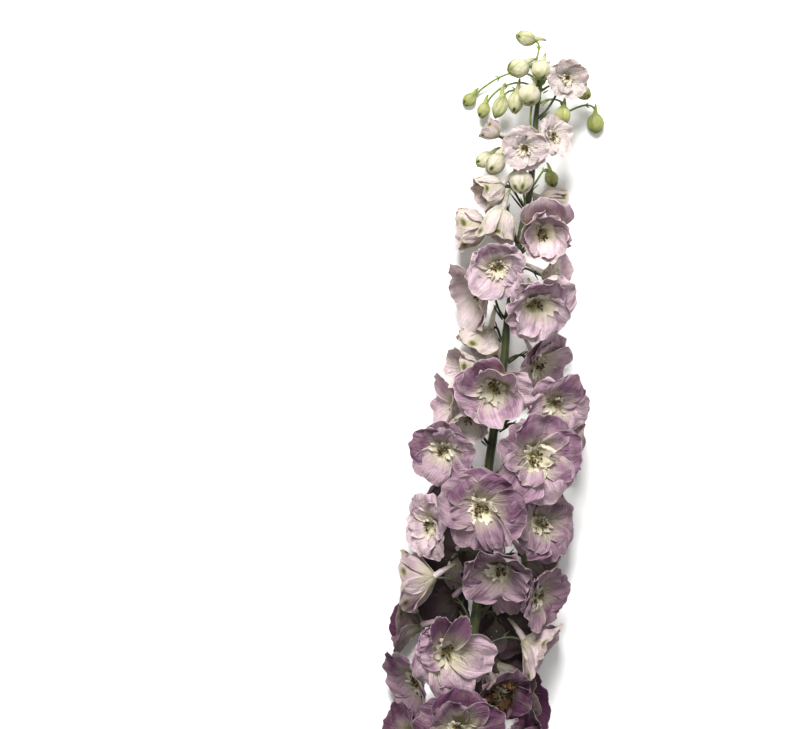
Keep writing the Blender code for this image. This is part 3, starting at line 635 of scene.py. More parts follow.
def build_flower(row, seed):
    name, x, y, z, tilt, heading, roll, length, openness, y_leave = row
    look = LOOK.get(name, {})
    rng = np.random.default_rng(look.get("seed", seed))
    eye = np.array((x, y, z)) * MM
    L = length * MM
    M = flower_frame(direction(tilt, heading), roll + look.get("roll", 0.0))
    face, dorsal = M[:, 2], M[:, 1]
    age = look.get("age", age_at(y))
    buf = Buffer()
    young = float(np.clip((0.75 - age) / 0.5, 0, 1))
    half = openness < 0.5
    sideways = tilt > 60 and not half
    low = z < 18.5
    openness = look.get("openness", openness * (0.92 if sideways else 1.0))
    cone = look.get("cone", float(np.interp(openness, (0.2, 0.5, 0.8, 1.0), (0.97, 0.88, 0.62, 0.50))))
    spot = look.get("spot", 0.75 + 0.25 * young)
    ring = look.get("sepals") or usual_ring(rng, openness, look, sideways)
    base_angles = look.get("angles", blend_angles(openness))
    bell = openness < 0.56
    calm = 0.62 if sideways or bell else 1.0
    k = L / 0.030
    for entry in ring:
        th, lk, wk, tier, lean, deep_and_shade = entry[:6]
        odd = entry[6] if len(entry) > 6 else {}
        ang = [a + lean * (0.35 + 0.3 * i) + rng.normal(0, 3.0) for i, a in enumerate(base_angles)]
        inner = tier > 1.7
        wmul = 0.70 if openness > 0.55 else 0.72
        up = max(0.0, math.sin(math.radians(th + roll)))
        olive = odd.get("olive", 0.9 * up ** 2 if not inner else 0.1)
        # hidden florets: painted shade is added to each sepal's colour depth
        deep_and_shade = deep_and_shade + look.get("painted_shade", 0.0)
        add_sepal(buf, rng, M, eye, L, SEPAL, age, odd.get("spot", spot), extra=(deep_and_shade, olive, odd.get("wilt", 0.0)),
                  L=L * lk * 0.96, W=L * wmul * wk * (0.75 + 0.25 * lk), alphas=ang, theta=math.radians(th),
                  nu=12 if low else 22, nv=15 if low else 29, rho0=(0.045 if not inner else 0.10) * L,
                  z0=0.0 if not inner else 0.0004, cone=cone if not inner else cone * 0.5,
                  cup=odd.get("cup", (0.95, 0.55 + rng.uniform(-0.10, 0.15), 0.30 + rng.uniform(-0.25, 0.25))),
                  layer=tier * 0.00045 * k * (0.45 if bell else 1.0),
                  swap=(0.00085 + rng.uniform(-0.3, 0.3) * 0.001) * k * (0.30 if bell else (0.6 if sideways else 1.0)),
                  ruffle=L * 0.082 * look.get("ruffle", 1.0) * odd.get("ruffle", 1.0) * calm,
                  frill=L * 0.030 * look.get("frill", 1.0) * odd.get("frill", 1.0) * calm, fold=L * 0.026 * calm,
                  bumpy=L * 0.022, pleat=L * rng.uniform(0.008, 0.022) * odd.get("pleat", 1.0),
                  tip_round=0.50, point=odd.get("point", rng.uniform(-0.02, 0.04)), curl=rng.uniform(-0.4, 1.0) * 0.0014,
                  crease=L * 0.010, skew=rng.uniform(-0.05, 0.05), phi_max=1.15,
                  base=0.42, end=0.52, wide=0.56, notch_in=odd.get("notch", rng.choice((0.0, 0.0, 0.04, 0.08))),
                  roll=rng.uniform(-0.6, 1.4) * 0.0018 * k * calm)
    # spur behind the upper sepal
    sl = 0.52 * L
    sp = bezier(eye + dorsal * 0.0012 + face * 0.0006, eye - face * sl * 0.35 + dorsal * sl * 0.30,
                eye - face * sl * 0.75 + dorsal * sl * 0.50, eye - face * sl + dorsal * sl * 0.52, 14)
    sp = sp + M[:, 0] * (rng.uniform(-1, 1) * 0.0012) * (np.linspace(0, 1, 14) ** 2)[:, None]
    sp[:, 2] = np.maximum(sp[:, 2], 0.0012)
    t = np.linspace(0, 1, 14)
    sr = SPUR_RADIUS * (L / 0.028) ** 0.5 * np.interp(t, (0, 0.25, 0.6, 0.85, 0.96, 1), (1.15, 1.0, 0.66, 0.52, 0.44, 0.2))
    sr = sr * (1 + 0.05 * np.sin(t * 27 + rng.uniform(0, 6)))
    buf.tube(sp, sr, 12, SEPAL, age * 0.82, rng.uniform(0, 1), spot=-1.0)
    # small inner petals: two upright above, wider ragged ones to the sides and below
    k = L / 0.028
    if not half:
        bl = L * look.get("bee", 0.40)
        fan = look.get("fan", 0.36)
        deepest = "painted_shade" in look
        for th, kind in ((66, 0), (108, 0), (160, 1), (205, 1), (248, 2), (290, 2), (338, 1), (18, 1)):
            if deepest and kind == 1:
                continue
            th += rng.uniform(-14, 14)
            up = kind == 0
            ang = (18, 34, 46, 58) if up else ((34, 52, 68, 80) if kind == 1 else (36, 54, 70, 88))
            lean = rng.normal(0, 9)
            ang = [a + lean + rng.normal(0, 6) for a in ang]
            ln = bl * (0.74 if up else (0.94 if kind == 1 else 1.05)) * rng.uniform(0.70, 1.18)
            add_sepal(buf, rng, M, eye, L, BEE, age, 0.0, thick=0.00024, extra=(0.0, 0.0, look.get("brown", 0.0)),
                      L=ln, W=ln * (fan * 0.8 if up else fan * rng.uniform(0.75, 1.1)), alphas=ang, theta=math.radians(th),
                      nu=10, nv=13, rho0=0.035 * L, z0=0.0014 if up else 0.0024, cone=0.0,
                      cup=(0.9, 0.5, 0.1), ruffle=ln * 0.15, frill=ln * 0.06, bumpy=ln * 0.04, tip_round=0.30,
                      jag=0.20 if up else 0.40, teeth=2 if fan < 0.45 else 3, base=0.34, end=0.75, wide=0.72, crease=0.0004)
    # ovary and stamens
    for j in range(3):
        a = 2 * math.pi * j / 3 + rng.uniform(0, 1)
        d = unit(face + M[:, 0] * math.cos(a) * 0.16 + M[:, 1] * (math.sin(a) * 0.16 - 0.12))
        tt = np.linspace(0, 1, 5)
        pts = eye + face * 0.001 + d * (tt * 0.0040 * k)[:, None]
        buf.tube(pts, np.array((0.0008, 0.00075, 0.0006, 0.0004, 0.00016)) * k, 6, FILAMENT, 0.15, rng.uniform(0, 1))
    count = look.get("stamens", 8 if half or "painted_shade" in look else 18)
    clump = rng.uniform(0, 2 * math.pi, 3)
    for j in range(count):
        a = clump[j % 3] + rng.normal(0, 0.55)
        spread = rng.uniform(0.04, 0.52)
        drop = 0.34
        side = M[:, 0] * math.cos(a) + M[:, 1] * math.sin(a)
        d0 = unit(face + side * spread * 0.7)
        d1 = unit(face * 0.75 + (side - M[:, 1] * drop) * spread * 1.7)
        ln = rng.uniform(0.0046, 0.0074) * k
        p0 = eye + face * 0.0012 + side * 0.0010 * k
        pts = bezier(p0, p0 + d0 * ln * 0.5, p0 + d0 * ln * 0.7 + d1 * ln * 0.1, p0 + d0 * ln * 0.6 + d1 * ln * 0.45, 6)
        buf.tube(pts, np.linspace(0.00024, 0.00013, 6) * k ** 0.5, 5, FILAMENT, age, rng.uniform(0, 1))
        ax = flower_frame(unit(d1 + rng.normal(0, 0.6, 3)), rng.uniform(0, 360))
        buf.egg(pts[-1], ax, np.array((0.00066, 0.00050, 0.00112)) * k ** 0.6, ANTHER, age, rng.uniform(0, 1), 7, 5)
    add_stalk(buf, rng, eye + face * 0.0002, face, y_leave, STALK_RADIUS * (0.85 + 0.15 * age), 0.4 + 0.6 * age,
              bract=0.6 + 0.6 * age)
    ob = buf.make(name + "_bloom", None)
    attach(ob, "root")
    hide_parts(name)
    return ob


def build_bud(row, seed):
    name, x, y, z, tilt, heading, length, width, y_leave = row
    look = LOOK.get(name, {})
    rng = np.random.default_rng(seed)
    centre = np.array((x, y, z)) * MM
    l, w = length * MM, width * MM
    M = flower_frame(direction(tilt, heading), rng.uniform(-20, 20))
    point, dorsal = M[:, 2], M[:, 1]
    age = look.get("age", float(np.interp(length, (8, 12, 15, 18), (0.06, 0.12, 0.25, 0.42))))
    buf = Buffer()
    a = 2 * math.atan(w / l)
    S = l * a / math.sin(a)
    base = centre - point * l * 0.5
    order = (0, 3, 1, 4, 2)
    for k in range(5):
        th = 90 + 72 * k + rng.uniform(-4, 4)
        lay = (0.8, -0.4, 0.7, -0.5, 0.1)[k] * 0.00009
        deg = math.degrees(a)
        add_sepal(buf, rng, M, base, l, SEPAL, age, rng.choice((0.15, 0.8, 1.1)), thick=0.00026, extra=(0.3, 0.0, 0.0),
                  L=S * rng.uniform(0.95, 1.01), W=w * 0.5 * 1.60, alphas=(deg * 1.04, deg * 0.36 + rng.uniform(-3, 3), -deg * 0.32 + rng.uniform(-3, 3), -deg * 0.92),
                  theta=math.radians(th), nu=20, nv=19, rho0=0.0003, z0=0.0, cone=1.0, cup=(0.5, 0.5, 0.5),
                  layer=lay, swap=0.00010, ruffle=0.00026, bumpy=w * 0.050,
                  tip_round=0.30, point=0.0, curl=0.0002, crease=w * 0.014, base=0.62, end=0.42, wide=0.55, phi_max=1.10)
    sl = 0.60 * l
    foot = centre - point * l * 0.38 + dorsal * w * 0.12
    sp = bezier(foot, foot - point * sl * 0.4 + dorsal * sl * 0.14, foot - point * sl * 0.7 + dorsal * sl * 0.18,
                foot - point * sl + dorsal * sl * 0.10, 12)
    sp[:, 2] = np.maximum(sp[:, 2], 0.0009)
    t = np.linspace(0, 1, 12)
    sr = 0.0017 * (l / 0.015) ** 0.5 * np.interp(t, (0, 0.3, 0.7, 0.93, 1), (1.25, 0.95, 0.6, 0.42, 0.18))
    buf.tube(sp, sr, 10, SEPAL, age * 0.75, rng.uniform(0, 1), spot=-1.0)
    add_stalk(buf, rng, centre - point * l * 0.40, point, y_leave, STALK_RADIUS * 0.80, 0.35, bract=0.62)
    ob = buf.make(name + "_bloom", None)
    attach(ob, "root")
    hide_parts(name)
    return ob


def build_stem():
    """Main stem with fine ribs, a slanted cut and the tight green tip."""
    rng = np.random.default_rng(5)
    n, sides = 300, 28
    ys = np.linspace(-359.6, 336.5, n)
    c = []
    r = []
    for yy in ys:
        p, rr = stem_at(yy)
        c.append(p)
        r.append(rr)
    c, r = np.array(c), np.array(r)
    leaves = [row[-1] for row in FLOWERS] + [row[-1] for row in BUDS]
    swell = sum(np.exp(-((ys - yy) / 3.2) ** 2) for yy in leaves)
    r = r * (1 + 0.055 * np.minimum(swell, 1.4))
    ang = np.linspace(0, 2 * math.pi, sides, endpoint=False)
    tan = np.gradient(c, axis=0)
    tan /= np.linalg.norm(tan, axis=1, keepdims=True)
    verts = []
    for i in range(n):
        x = unit(np.array((1.0, 0, 0)) - tan[i] * tan[i][0])
        y = np.cross(tan[i], x)
        rib = 1 + 0.022 * np.sin(ang * 7 + 0.004 * ys[i]) + 0.012 * np.sin(ang * 3 + ys[i] * 0.02)
        verts.append(c[i] + (np.cos(ang)[:, None] * x + np.sin(ang)[:, None] * y) * (r[i] * rib)[:, None])
    verts = np.array(verts)
    slope = math.tan(math.radians(28.0))
    # the foot is cut on a slope: the upper side reaches further back
    for i in range(10):
        dz = verts[i, :, 2] - c[i, 2]
        keep = (1 - i / 10.0)
        verts[i, :, 1] += (0.0019 - dz * slope) * keep - 0.0003 * keep
    verts[..., 2] = np.maximum(verts[..., 2], 0.00006)
    buf = Buffer()
    flat = verts.reshape(-1, 3)
    start = verts[0].mean(axis=0)
    end = verts[-1].mean(axis=0) + tan[-1] * 0.0004
    ring_in = start + (verts[0] - start) * 0.72 + tan[0] * 0.0002
    allv = np.concatenate((flat, ring_in, [start + tan[0] * 0.0005], [end]))
    quads = []
    j = np.arange(sides)
    k = (j + 1) % sides
    for i in range(n - 1):
        quads.append(np.stack((i * sides + j, i * sides + k, (i + 1) * sides + k, (i + 1) * sides + j), -1))
    quads = np.concatenate(quads)[:, ::-1]
    r0 = n * sides
    cap = np.stack((j, r0 + j, r0 + k, k), -1)[:, ::-1]
    t0 = np.stack((np.full(sides, r0 + sides), k + r0, j + r0), -1)[:, ::-1]
    last = (n - 1) * sides
    t1 = np.stack((np.full(sides, r0 + sides + 1), last + j, last + k), -1)[:, ::-1]
    s = np.concatenate((np.repeat((ys + 360) / 700, sides), np.zeros(sides + 1), [1.0]))
    w = np.concatenate((np.tile(np.cos(ang), n), np.zeros(sides + 2)))
    A = np.stack((s, w, np.full(len(s), 1.0)), -1)
    cut = np.concatenate((np.zeros(n * sides), np.ones(sides + 1), [0.0]))
    B = np.stack((np.full(len(s), 0.5), np.ones(len(s)), cut), -1)
    buf.add(allv, np.concatenate((quads, cap)), np.concatenate((t0, t1)), 0, A, B)
    # tiny buds crowded round the growing tip
    tip = c[-1]
    for j in range(13):
        a = j * 2.39996
        yb = 336.5 - 17.0 * (j / 13.0) ** 0.9
        p, rr = stem_at(yb)
        o = np.array((math.cos(a), 0.0, math.sin(a)))
        size = 0.0009 + 0.0013 * j / 11.0
        q = p + o * (rr + size * 1.1) + np.array((0, size * 1.2, 0))
        axm = flower_frame(unit(o * 0.5 + np.array((0, 1.0, 0))), 0)
        buf.egg(q, axm, np.array((size, size, size * 1.55)), 1, 0.05, rng.uniform(0, 1), 9, 7)
        buf.tube(bezier(p, p + o * rr, q - np.array((0, size, 0)), q, 5), [0.0005, 0.00045, 0.0004, 0.0004, 0.0003],
                 6, 2, 0.4, rng.uniform(0, 1))
        d = unit(o * rng.uniform(0.5, 1.2) + np.array((0, 0.9, 0)))
        m = 6
        tt = np.linspace(0, 1, m)
        pts = p + o * rr * 0.8 + d * (tt * (0.0050 + 0.0005 * j))[:, None] - o * (tt ** 2 * 0.0008)[:, None]
        buf.tube(pts, 0.00080 * np.sin(np.pi * np.clip(tt * 0.8 + 0.2, 0, 1)) + 0.0001, 6, 2, 0.4,
                 rng.uniform(0, 1), flat=0.35, up=o)
    ob = buf.make("stem_main", {0: MATS["stem"], 1: MATS["tipbud"], 2: MATS["green"]})
    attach(ob, "root")
    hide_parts("main_stem")
    return ob


# ------------------------------------------------------------------ materials
class Tree:
    def __init__(self, name):
        self.mat = bpy.data.materials.new(name)
        self.mat.use_nodes = True
        self.t = self.mat.node_tree
        self.t.nodes.clear()

    def node(self, kind, **props):
        n = self.t.nodes.new(kind)
        for k, v in props.items():
            setattr(n, k, v)
        return n

    def put(self, sock, value):
        if hasattr(value, "is_linked") or isinstance(value, bpy.types.NodeSocket):
            self.t.links.new(value, sock)
        else:
            sock.default_value = value

    def math(self, op, a, b=None, c=None, clamp=False):
        n = self.node("ShaderNodeMath", operation=op, use_clamp=clamp)
        self.put(n.inputs[0], a)
        if b is not None:
            self.put(n.inputs[1], b)
        if c is not None:
            self.put(n.inputs[2], c)
        return n.outputs[0]

    def remap(self, x, lo, hi, to0=0.0, to1=1.0, smooth=True):
        n = self.node("ShaderNodeMapRange", interpolation_type="SMOOTHSTEP" if smooth else "LINEAR")
        self.put(n.inputs["Value"], x)
        n.inputs["From Min"].default_value = lo
        n.inputs["From Max"].default_value = hi
        n.inputs["To Min"].default_value = to0
        n.inputs["To Max"].default_value = to1
        return n.outputs[0]

    def mix(self, fac, a, b, blend="MIX"):
        n = self.node("ShaderNodeMix", data_type="RGBA", blend_type=blend, clamp_factor=True)
        self.put(n.inputs[0], fac)
        for sock, val in ((n.inputs[6], a), (n.inputs[7], b)):
            if isinstance(val, tuple) and len(val) == 3:
                val = (*val, 1.0)
            self.put(sock, val)
        return n.outputs[2]

    def ramp(self, fac, stops, interp="LINEAR"):
        n = self.node("ShaderNodeValToRGB")
        n.color_ramp.interpolation = interp
        els = n.color_ramp.elements
        while len(els) < len(stops):
            els.new(0.5)
        for e, (pos, col) in zip(els, stops):
            e.position = pos
            e.color = (*col, 1.0) if len(col) == 3 else col
        self.put(n.inputs[0], fac)
        return n.outputs[0]

    def noise(self, vec, scale, detail=3.0, rough=0.5, distort=0.0, dims="3D"):
        n = self.node("ShaderNodeTexNoise", noise_dimensions=dims)
        self.put(n.inputs["Vector"], vec)
        n.inputs["Scale"].default_value = scale
        n.inputs["Detail"].default_value = detail
        n.inputs["Roughness"].default_value = rough
        n.inputs["Distortion"].default_value = distort
        return n.outputs["Fac"]

    def attr(self, name):
        n = self.node("ShaderNodeAttribute", attribute_name=name, attribute_type="GEOMETRY")
        s = self.node("ShaderNodeSeparateXYZ")
        self.t.links.new(n.outputs["Vector"], s.inputs[0])
        return s.outputs[0], s.outputs[1], s.outputs[2]

    def combine(self, x, y, z):
        n = self.node("ShaderNodeCombineXYZ")
        for sock, val in zip(n.inputs, (x, y, z)):
            self.put(sock, val)
        return n.outputs[0]

    def coords(self):
        return self.node("ShaderNodeTexCoord").outputs["Object"]

    def bump(self, height, strength, distance):
        n = self.node("ShaderNodeBump")
        self.put(n.inputs["Height"], height)
        n.inputs["Strength"].default_value = strength
        n.inputs["Distance"].default_value = distance
        return n.outputs[0]

    def surface(self, colour, rough, normal=None, spec=0.35, sheen=0.0, thin=0.0, thin_colour=None,
                coat=0.0, sheen_rough=0.5, tone=0.70):
        if tone < 1.0:
            colour = self.mix(1.0, colour, (tone, tone, tone), "MULTIPLY")
        p = self.node("ShaderNodeBsdfPrincipled")
        self.put(p.inputs["Base Color"], colour)
        self.put(p.inputs["Roughness"], rough)
        p.inputs["Specular IOR Level"].default_value = spec
        p.inputs["Sheen Weight"].default_value = sheen
        p.inputs["Sheen Roughness"].default_value = sheen_rough
        p.inputs["Coat Weight"].default_value = coat
        if normal is not None:
            self.t.links.new(normal, p.inputs["Normal"])
        out = self.node("ShaderNodeOutputMaterial")
        if thin > 0:
            tr = self.node("ShaderNodeBsdfTranslucent")
            self.put(tr.inputs["Color"], thin_colour if thin_colour is not None else colour)
            if normal is not None:
                self.t.links.new(normal, tr.inputs["Normal"])
            m = self.node("ShaderNodeMixShader")
            m.inputs[0].default_value = thin
            self.t.links.new(p.outputs[0], m.inputs[1])
            self.t.links.new(tr.outputs[0], m.inputs[2])
            self.t.links.new(m.outputs[0], out.inputs[0])
        else:
            self.t.links.new(p.outputs[0], out.inputs[0])
        return self.mat


def srgb(r, g, b):
    return tuple(((c / 255.0) / 12.92 if c / 255.0 <= 0.04045 else ((c / 255.0 + 0.055) / 1.055) ** 2.4)
                 for c in (r, g, b))


def make_sepal():
    t = Tree("sepal")
    u, v, age = t.attr("pa")
    rnd, front, spot = t.attr("pb")
    deepness_and_shade, olive, wilt = t.attr("pc")
    av = t.math("ABSOLUTE", v)
    seed = t.math("MULTIPLY", rnd, 37.0)
    # body colour by age: green bud, cream bud, white, pale lilac, lilac
    body = t.ramp(age, ((0.0, srgb(176, 190, 92)), (0.14, srgb(214, 218, 142)), (0.32, srgb(249, 248, 218)),
                        (0.50, srgb(247, 238, 236)), (0.66, srgb(240, 224, 227)), (0.82, srgb(232, 209, 220)),
                        (0.92, srgb(222, 191, 206)), (1.0, srgb(202, 160, 182))))
    # deeper lilac of the sepals; where a sepal's colour depth is raised it also stands for painted shade
    deep_and_shade = t.ramp(age, ((0.0, srgb(136, 158, 58)), (0.32, srgb(222, 220, 166)), (0.50, srgb(226, 212, 212)),
                        (0.66, srgb(203, 175, 187)), (0.82, srgb(172, 130, 158)), (0.92, srgb(152, 104, 138)), (1.0, srgb(126, 70, 110))))
    # long streaks that follow the veins, and broad clouds of deeper lilac
    streak = t.noise(t.combine(t.math("MULTIPLY", v, 5.5), t.math("MULTIPLY", u, 0.9), seed), 1.0, 4.0, 0.62, 0.35)
    veins = t.noise(t.combine(t.math("MULTIPLY", v, 17.0), t.math("MULTIPLY", u, 1.3), seed), 1.0, 3.0, 0.6, 0.6)
    cloud = t.noise(t.combine(t.math("MULTIPLY", v, 0.9), t.math("MULTIPLY", u, 1.3), t.math("ADD", seed, 5.0)),
                    1.6, 3.0, 0.55, 0.2)
    mass = t.math("ADD", t.math("MULTIPLY", cloud, 0.75), t.math("MULTIPLY", streak, 0.35))
    # each sepal's colour depth: deeper lilac, partly painted shade (upper sepals, hidden florets)
    mass = t.math("ADD", mass, t.math("MULTIPLY", t.math("SUBTRACT", deepness_and_shade, 0.55), 0.30))
    mass = t.remap(mass, 0.40, 0.76)
    band = t.remap(u, 0.26, 0.66)
    mass = t.math("MULTIPLY", mass, band)
    col = t.mix(mass, body, deep_and_shade)
    fine = t.math("MULTIPLY", t.remap(veins, 0.50, 0.66), t.remap(u, 0.1, 0.35))
    col = t.mix(t.math("MULTIPLY", fine, 0.46), col, deep_and_shade)
    grown = t.remap(age, 0.22, 0.48)
    # pale rim
    seam = t.math("MULTIPLY", t.remap(av, 0.80, 1.0), t.math("SUBTRACT", 1.0, grown))
    col = t.mix(t.math("MULTIPLY", seam, 0.55), col, srgb(166, 178, 96))
    rim = t.math("MAXIMUM", t.remap(av, 0.935, 1.0), t.remap(u, 0.968, 1.0))
    rim = t.math("MULTIPLY", rim, t.remap(age, 0.80, 1.0, 1.0, 0.55))
    rim = t.math("MULTIPLY", rim, t.math("ADD", t.math("MULTIPLY", grown, 0.55), 0.15))
    col = t.mix(rim, col, srgb(250, 240, 242))
    # cream throat with greenish base, ragged along the veins
    thr = t.math("ADD", u, t.math("MULTIPLY", t.math("SUBTRACT", streak, 0.5), 0.55))
    throat = t.remap(thr, 0.18, 0.68, 1.0, 0.0)
    throat = t.math("MULTIPLY", throat, t.math("ADD", t.math("MULTIPLY", grown, 0.75), 0.15))
    col = t.mix(throat, col, t.mix(t.remap(age, 0.52, 0.74), srgb(243, 236, 226), srgb(234, 227, 196)))
    hollow = t.math("MULTIPLY", t.math("MULTIPLY", t.remap(thr, 0.10, 0.24), t.remap(thr, 0.30, 0.50, 1.0, 0.0)),
                    t.remap(av, 0.35, 0.85, 1.0, 0.0))
    hollow = t.math("MULTIPLY", t.math("MULTIPLY", hollow, olive), front)
    col = t.mix(t.math("MULTIPLY", hollow, 0.75), col, srgb(146, 140, 84))
    base = t.remap(thr, 0.02, 0.16, 1.0, 0.0)
    col = t.mix(t.math("MULTIPLY", base, 0.70), col, srgb(160, 166, 92))
    # back of the sepal: paler with a green midrib, and the green thumb mark near its tip
    back = t.math("SUBTRACT", 1.0, front)
    col = t.mix(t.math("MULTIPLY", t.math("MULTIPLY", back, 0.35), grown), col, srgb(230, 218, 212))
    rib = t.math("MULTIPLY", t.remap(av, 0.03, 0.20, 1.0, 0.0), t.remap(u, 0.15, 0.9, 0.25, 0.9))
    young = t.math("MULTIPLY", t.remap(age, 0.45, 0.95, 1.0, 0.35), t.remap(age, 0.25, 0.45, 0.10, 1.0))
    col = t.mix(t.math("MULTIPLY", t.math("MULTIPLY", rib, back), t.math("MULTIPLY", young, 0.75)), col,
                srgb(168, 172, 112))
    ends = t.math("MAXIMUM", t.remap(u, 0.02, 0.48, 0.85, 0.0), t.remap(u, 0.66, 1.0, 0.0, 0.80))
    ends = t.math("MULTIPLY", t.math("MULTIPLY", ends, back), t.remap(age, 0.30, 0.50, 1.0, 0.25))
    col = t.mix(ends, col, srgb(146, 162, 66))
    du = t.math("DIVIDE", t.math("SUBTRACT", u, 0.86), t.remap(age, 0.3, 0.7, 0.12, 0.085))
    dv = t.math("DIVIDE", t.math("ADD", v, t.math("MULTIPLY", t.math("SUBTRACT", streak, 0.5), 0.2)), 0.20)
    rr = t.math("ADD", t.math("MULTIPLY", du, du), t.math("MULTIPLY", dv, dv))
    mark = t.math("MULTIPLY", t.remap(rr, 0.1, 1.6, 1.0, 0.0), t.math("MAXIMUM", spot, 0.0))
    mark = t.math("MULTIPLY", mark, t.math("ADD", t.math("MULTIPLY", back, 0.75), 0.25), clamp=True)
    col = t.mix(t.math("MULTIPLY", mark, 0.85), col, srgb(126, 134, 62))
    core = t.math("MULTIPLY", t.remap(rr, 0.0, 0.6, 1.0, 0.0), t.math("MAXIMUM", spot, 0.0))
    core = t.math("MULTIPLY", core, back)
    col = t.mix(t.math("MULTIPLY", core, 0.85), col, srgb(62, 58, 24))
    # spur: greener towards its end
    is_spur = t.math("LESS_THAN", spot, -0.5)
    spur_col = t.mix(t.remap(u, 0.3, 1.0), body, srgb(160, 156, 104))
    col = t.mix(is_spur, col, spur_col)
    # small life in the surface
    obj = t.coords()
    speck = t.noise(obj, 900.0, 3.0, 0.6)
    patch = t.noise(obj, 120.0, 2.0, 0.5)
    col = t.mix(t.remap(patch, 0.35, 0.75, 0.0, 0.16), col, t.mix(1.0, col, srgb(232, 218, 226), "MULTIPLY"))
    dry = t.math("MULTIPLY", wilt, t.remap(t.math("ADD", streak, t.math("MULTIPLY", u, 0.3)), 0.35, 0.75))
    col = t.mix(dry, col, t.mix(t.remap(veins, 0.4, 0.65), srgb(150, 108, 70), srgb(66, 44, 28)))
    # brightness by age: the steep drop on the oldest florets darkens the lower spike as painted shade for light falling
    # off down it; their deeper lilac itself is in the body ramp and the deeper colour ramp
    tone = t.ramp(age, ((0.0, (0.88, 0.88, 0.84)), (0.34, (0.92, 0.91, 0.87)), (0.56, (0.90, 0.895, 0.885)), (0.70, (0.93, 0.93, 0.915)),
                        (0.88, (0.84, 0.85, 0.83)), (0.91, (0.76, 0.77, 0.75)), (0.935, (0.62, 0.625, 0.61)),
                        (1.0, (0.56, 0.565, 0.55))))
    col = t.mix(1.0, col, tone, "MULTIPLY")
    # painted shade: sepals of the hidden florets within the spike are pushed towards near-black mauve and brown
    painted_shade = t.remap(deepness_and_shade, 1.30, 1.95)
    col = t.mix(t.math("MULTIPLY", painted_shade, 0.92), col, t.mix(streak, srgb(66, 42, 52), srgb(36, 28, 26)))
    rough = t.remap(speck, 0.3, 0.7, 0.46, 0.62)
    crinkle = t.noise(t.combine(t.math("MULTIPLY", v, 4.0), t.math("MULTIPLY", u, 4.5), seed), 1.0, 4.0, 0.62, 0.9)
    height = t.math("ADD", t.math("MULTIPLY", veins, 0.8), t.math("MULTIPLY", speck, 0.25))
    height = t.math("ADD", height, t.math("MULTIPLY", crinkle, 1.3))
    normal = t.bump(height, 0.9, 0.0014)
    glow = t.mix(t.remap(age, 0.5, 0.8), t.mix(1.0, col, (1.0, 0.98, 0.78), "MULTIPLY"),
                 t.mix(1.0, col, (1.0, 0.80, 0.94), "MULTIPLY"))
    return t.surface(col, rough, normal, spec=0.22, sheen=0.0, thin=0.32, thin_colour=glow, tone=1.0)


def make_bee():
    t = Tree("bee_petal")
    u, v, age = t.attr("pa")
    rnd, front, spot = t.attr("pb")
    seed = t.math("MULTIPLY", rnd, 31.0)
    streak = t.noise(t.combine(t.math("MULTIPLY", v, 5.0), u, seed), 1.2, 3.0, 0.6, 0.3)
    col = t.ramp(t.math("ADD", u, t.math("MULTIPLY", t.math("SUBTRACT", streak, 0.5), 0.35)),
                 ((0.0, srgb(170, 166, 96)), (0.35, srgb(226, 218, 176)), (0.75, srgb(244, 234, 212)),
                  (1.0, srgb(242, 228, 214))))
    col = t.mix(t.remap(streak, 0.56, 0.72, 0.0, 0.35), col, srgb(188, 160, 110))
    fuzz = t.noise(t.coords(), 1400.0, 4.0, 0.7)
    normal = t.bump(t.math("ADD", streak, t.math("MULTIPLY", fuzz, 0.7)), 0.5, 0.0005)
    return t.surface(col, t.remap(fuzz, 0.3, 0.7, 0.5, 0.75), normal, spec=0.2, sheen=0.25, thin=0.25, tone=0.76)


def make_anther():
    t = Tree("anther")
    obj = t.coords()
    n = t.noise(obj, 1500.0, 3.0, 0.6)
    rnd, _f, _s = t.attr("pb")
    col = t.ramp(t.math("ADD", t.math("MULTIPLY", n, 0.5), t.math("MULTIPLY", rnd, 0.5)),
                 ((0.25, srgb(48, 34, 20)), (0.55, srgb(84, 62, 34)), (0.85, srgb(150, 122, 66))))
    return t.surface(col, t.remap(n, 0.3, 0.7, 0.45, 0.8), t.bump(n, 0.6, 0.0004), spec=0.3)


def make_filament():
    t = Tree("filament")
    u, v, age = t.attr("pa")
    n = t.noise(t.coords(), 700.0, 3.0, 0.6)
    col = t.ramp(u, ((0.0, srgb(205, 206, 140)), (0.5, srgb(236, 230, 190)), (1.0, srgb(180, 160, 120))))
    return t.surface(t.mix(t.remap(n, 0.4, 0.7, 0, 0.3), col, srgb(190, 180, 130)), 0.5, t.bump(n, 0.3, 0.0002),
                     spec=0.3, thin=0.2)


def green_tree(name, dark, mid, light, gloss=0.46):
    t = Tree(name)
    u, v, age = t.attr("pa")
    rnd, front, cut = t.attr("pb")
    obj = t.coords()
    mp = t.node("ShaderNodeMapping")
    mp.inputs["Scale"].default_value = (1.0, 0.06, 1.0)
    t.t.links.new(obj, mp.inputs["Vector"])
    long = t.noise(mp.outputs[0], 900.0, 4.0, 0.6)
    blot = t.noise(obj, 160.0, 3.0, 0.55, 0.4)
    col = t.ramp(t.math("ADD", t.math("MULTIPLY", long, 0.6), t.math("MULTIPLY", blot, 0.4)),
                 ((0.30, dark), (0.52, mid), (0.74, light)))
    return t, u, v, age, rnd, cut, long, blot, col, gloss


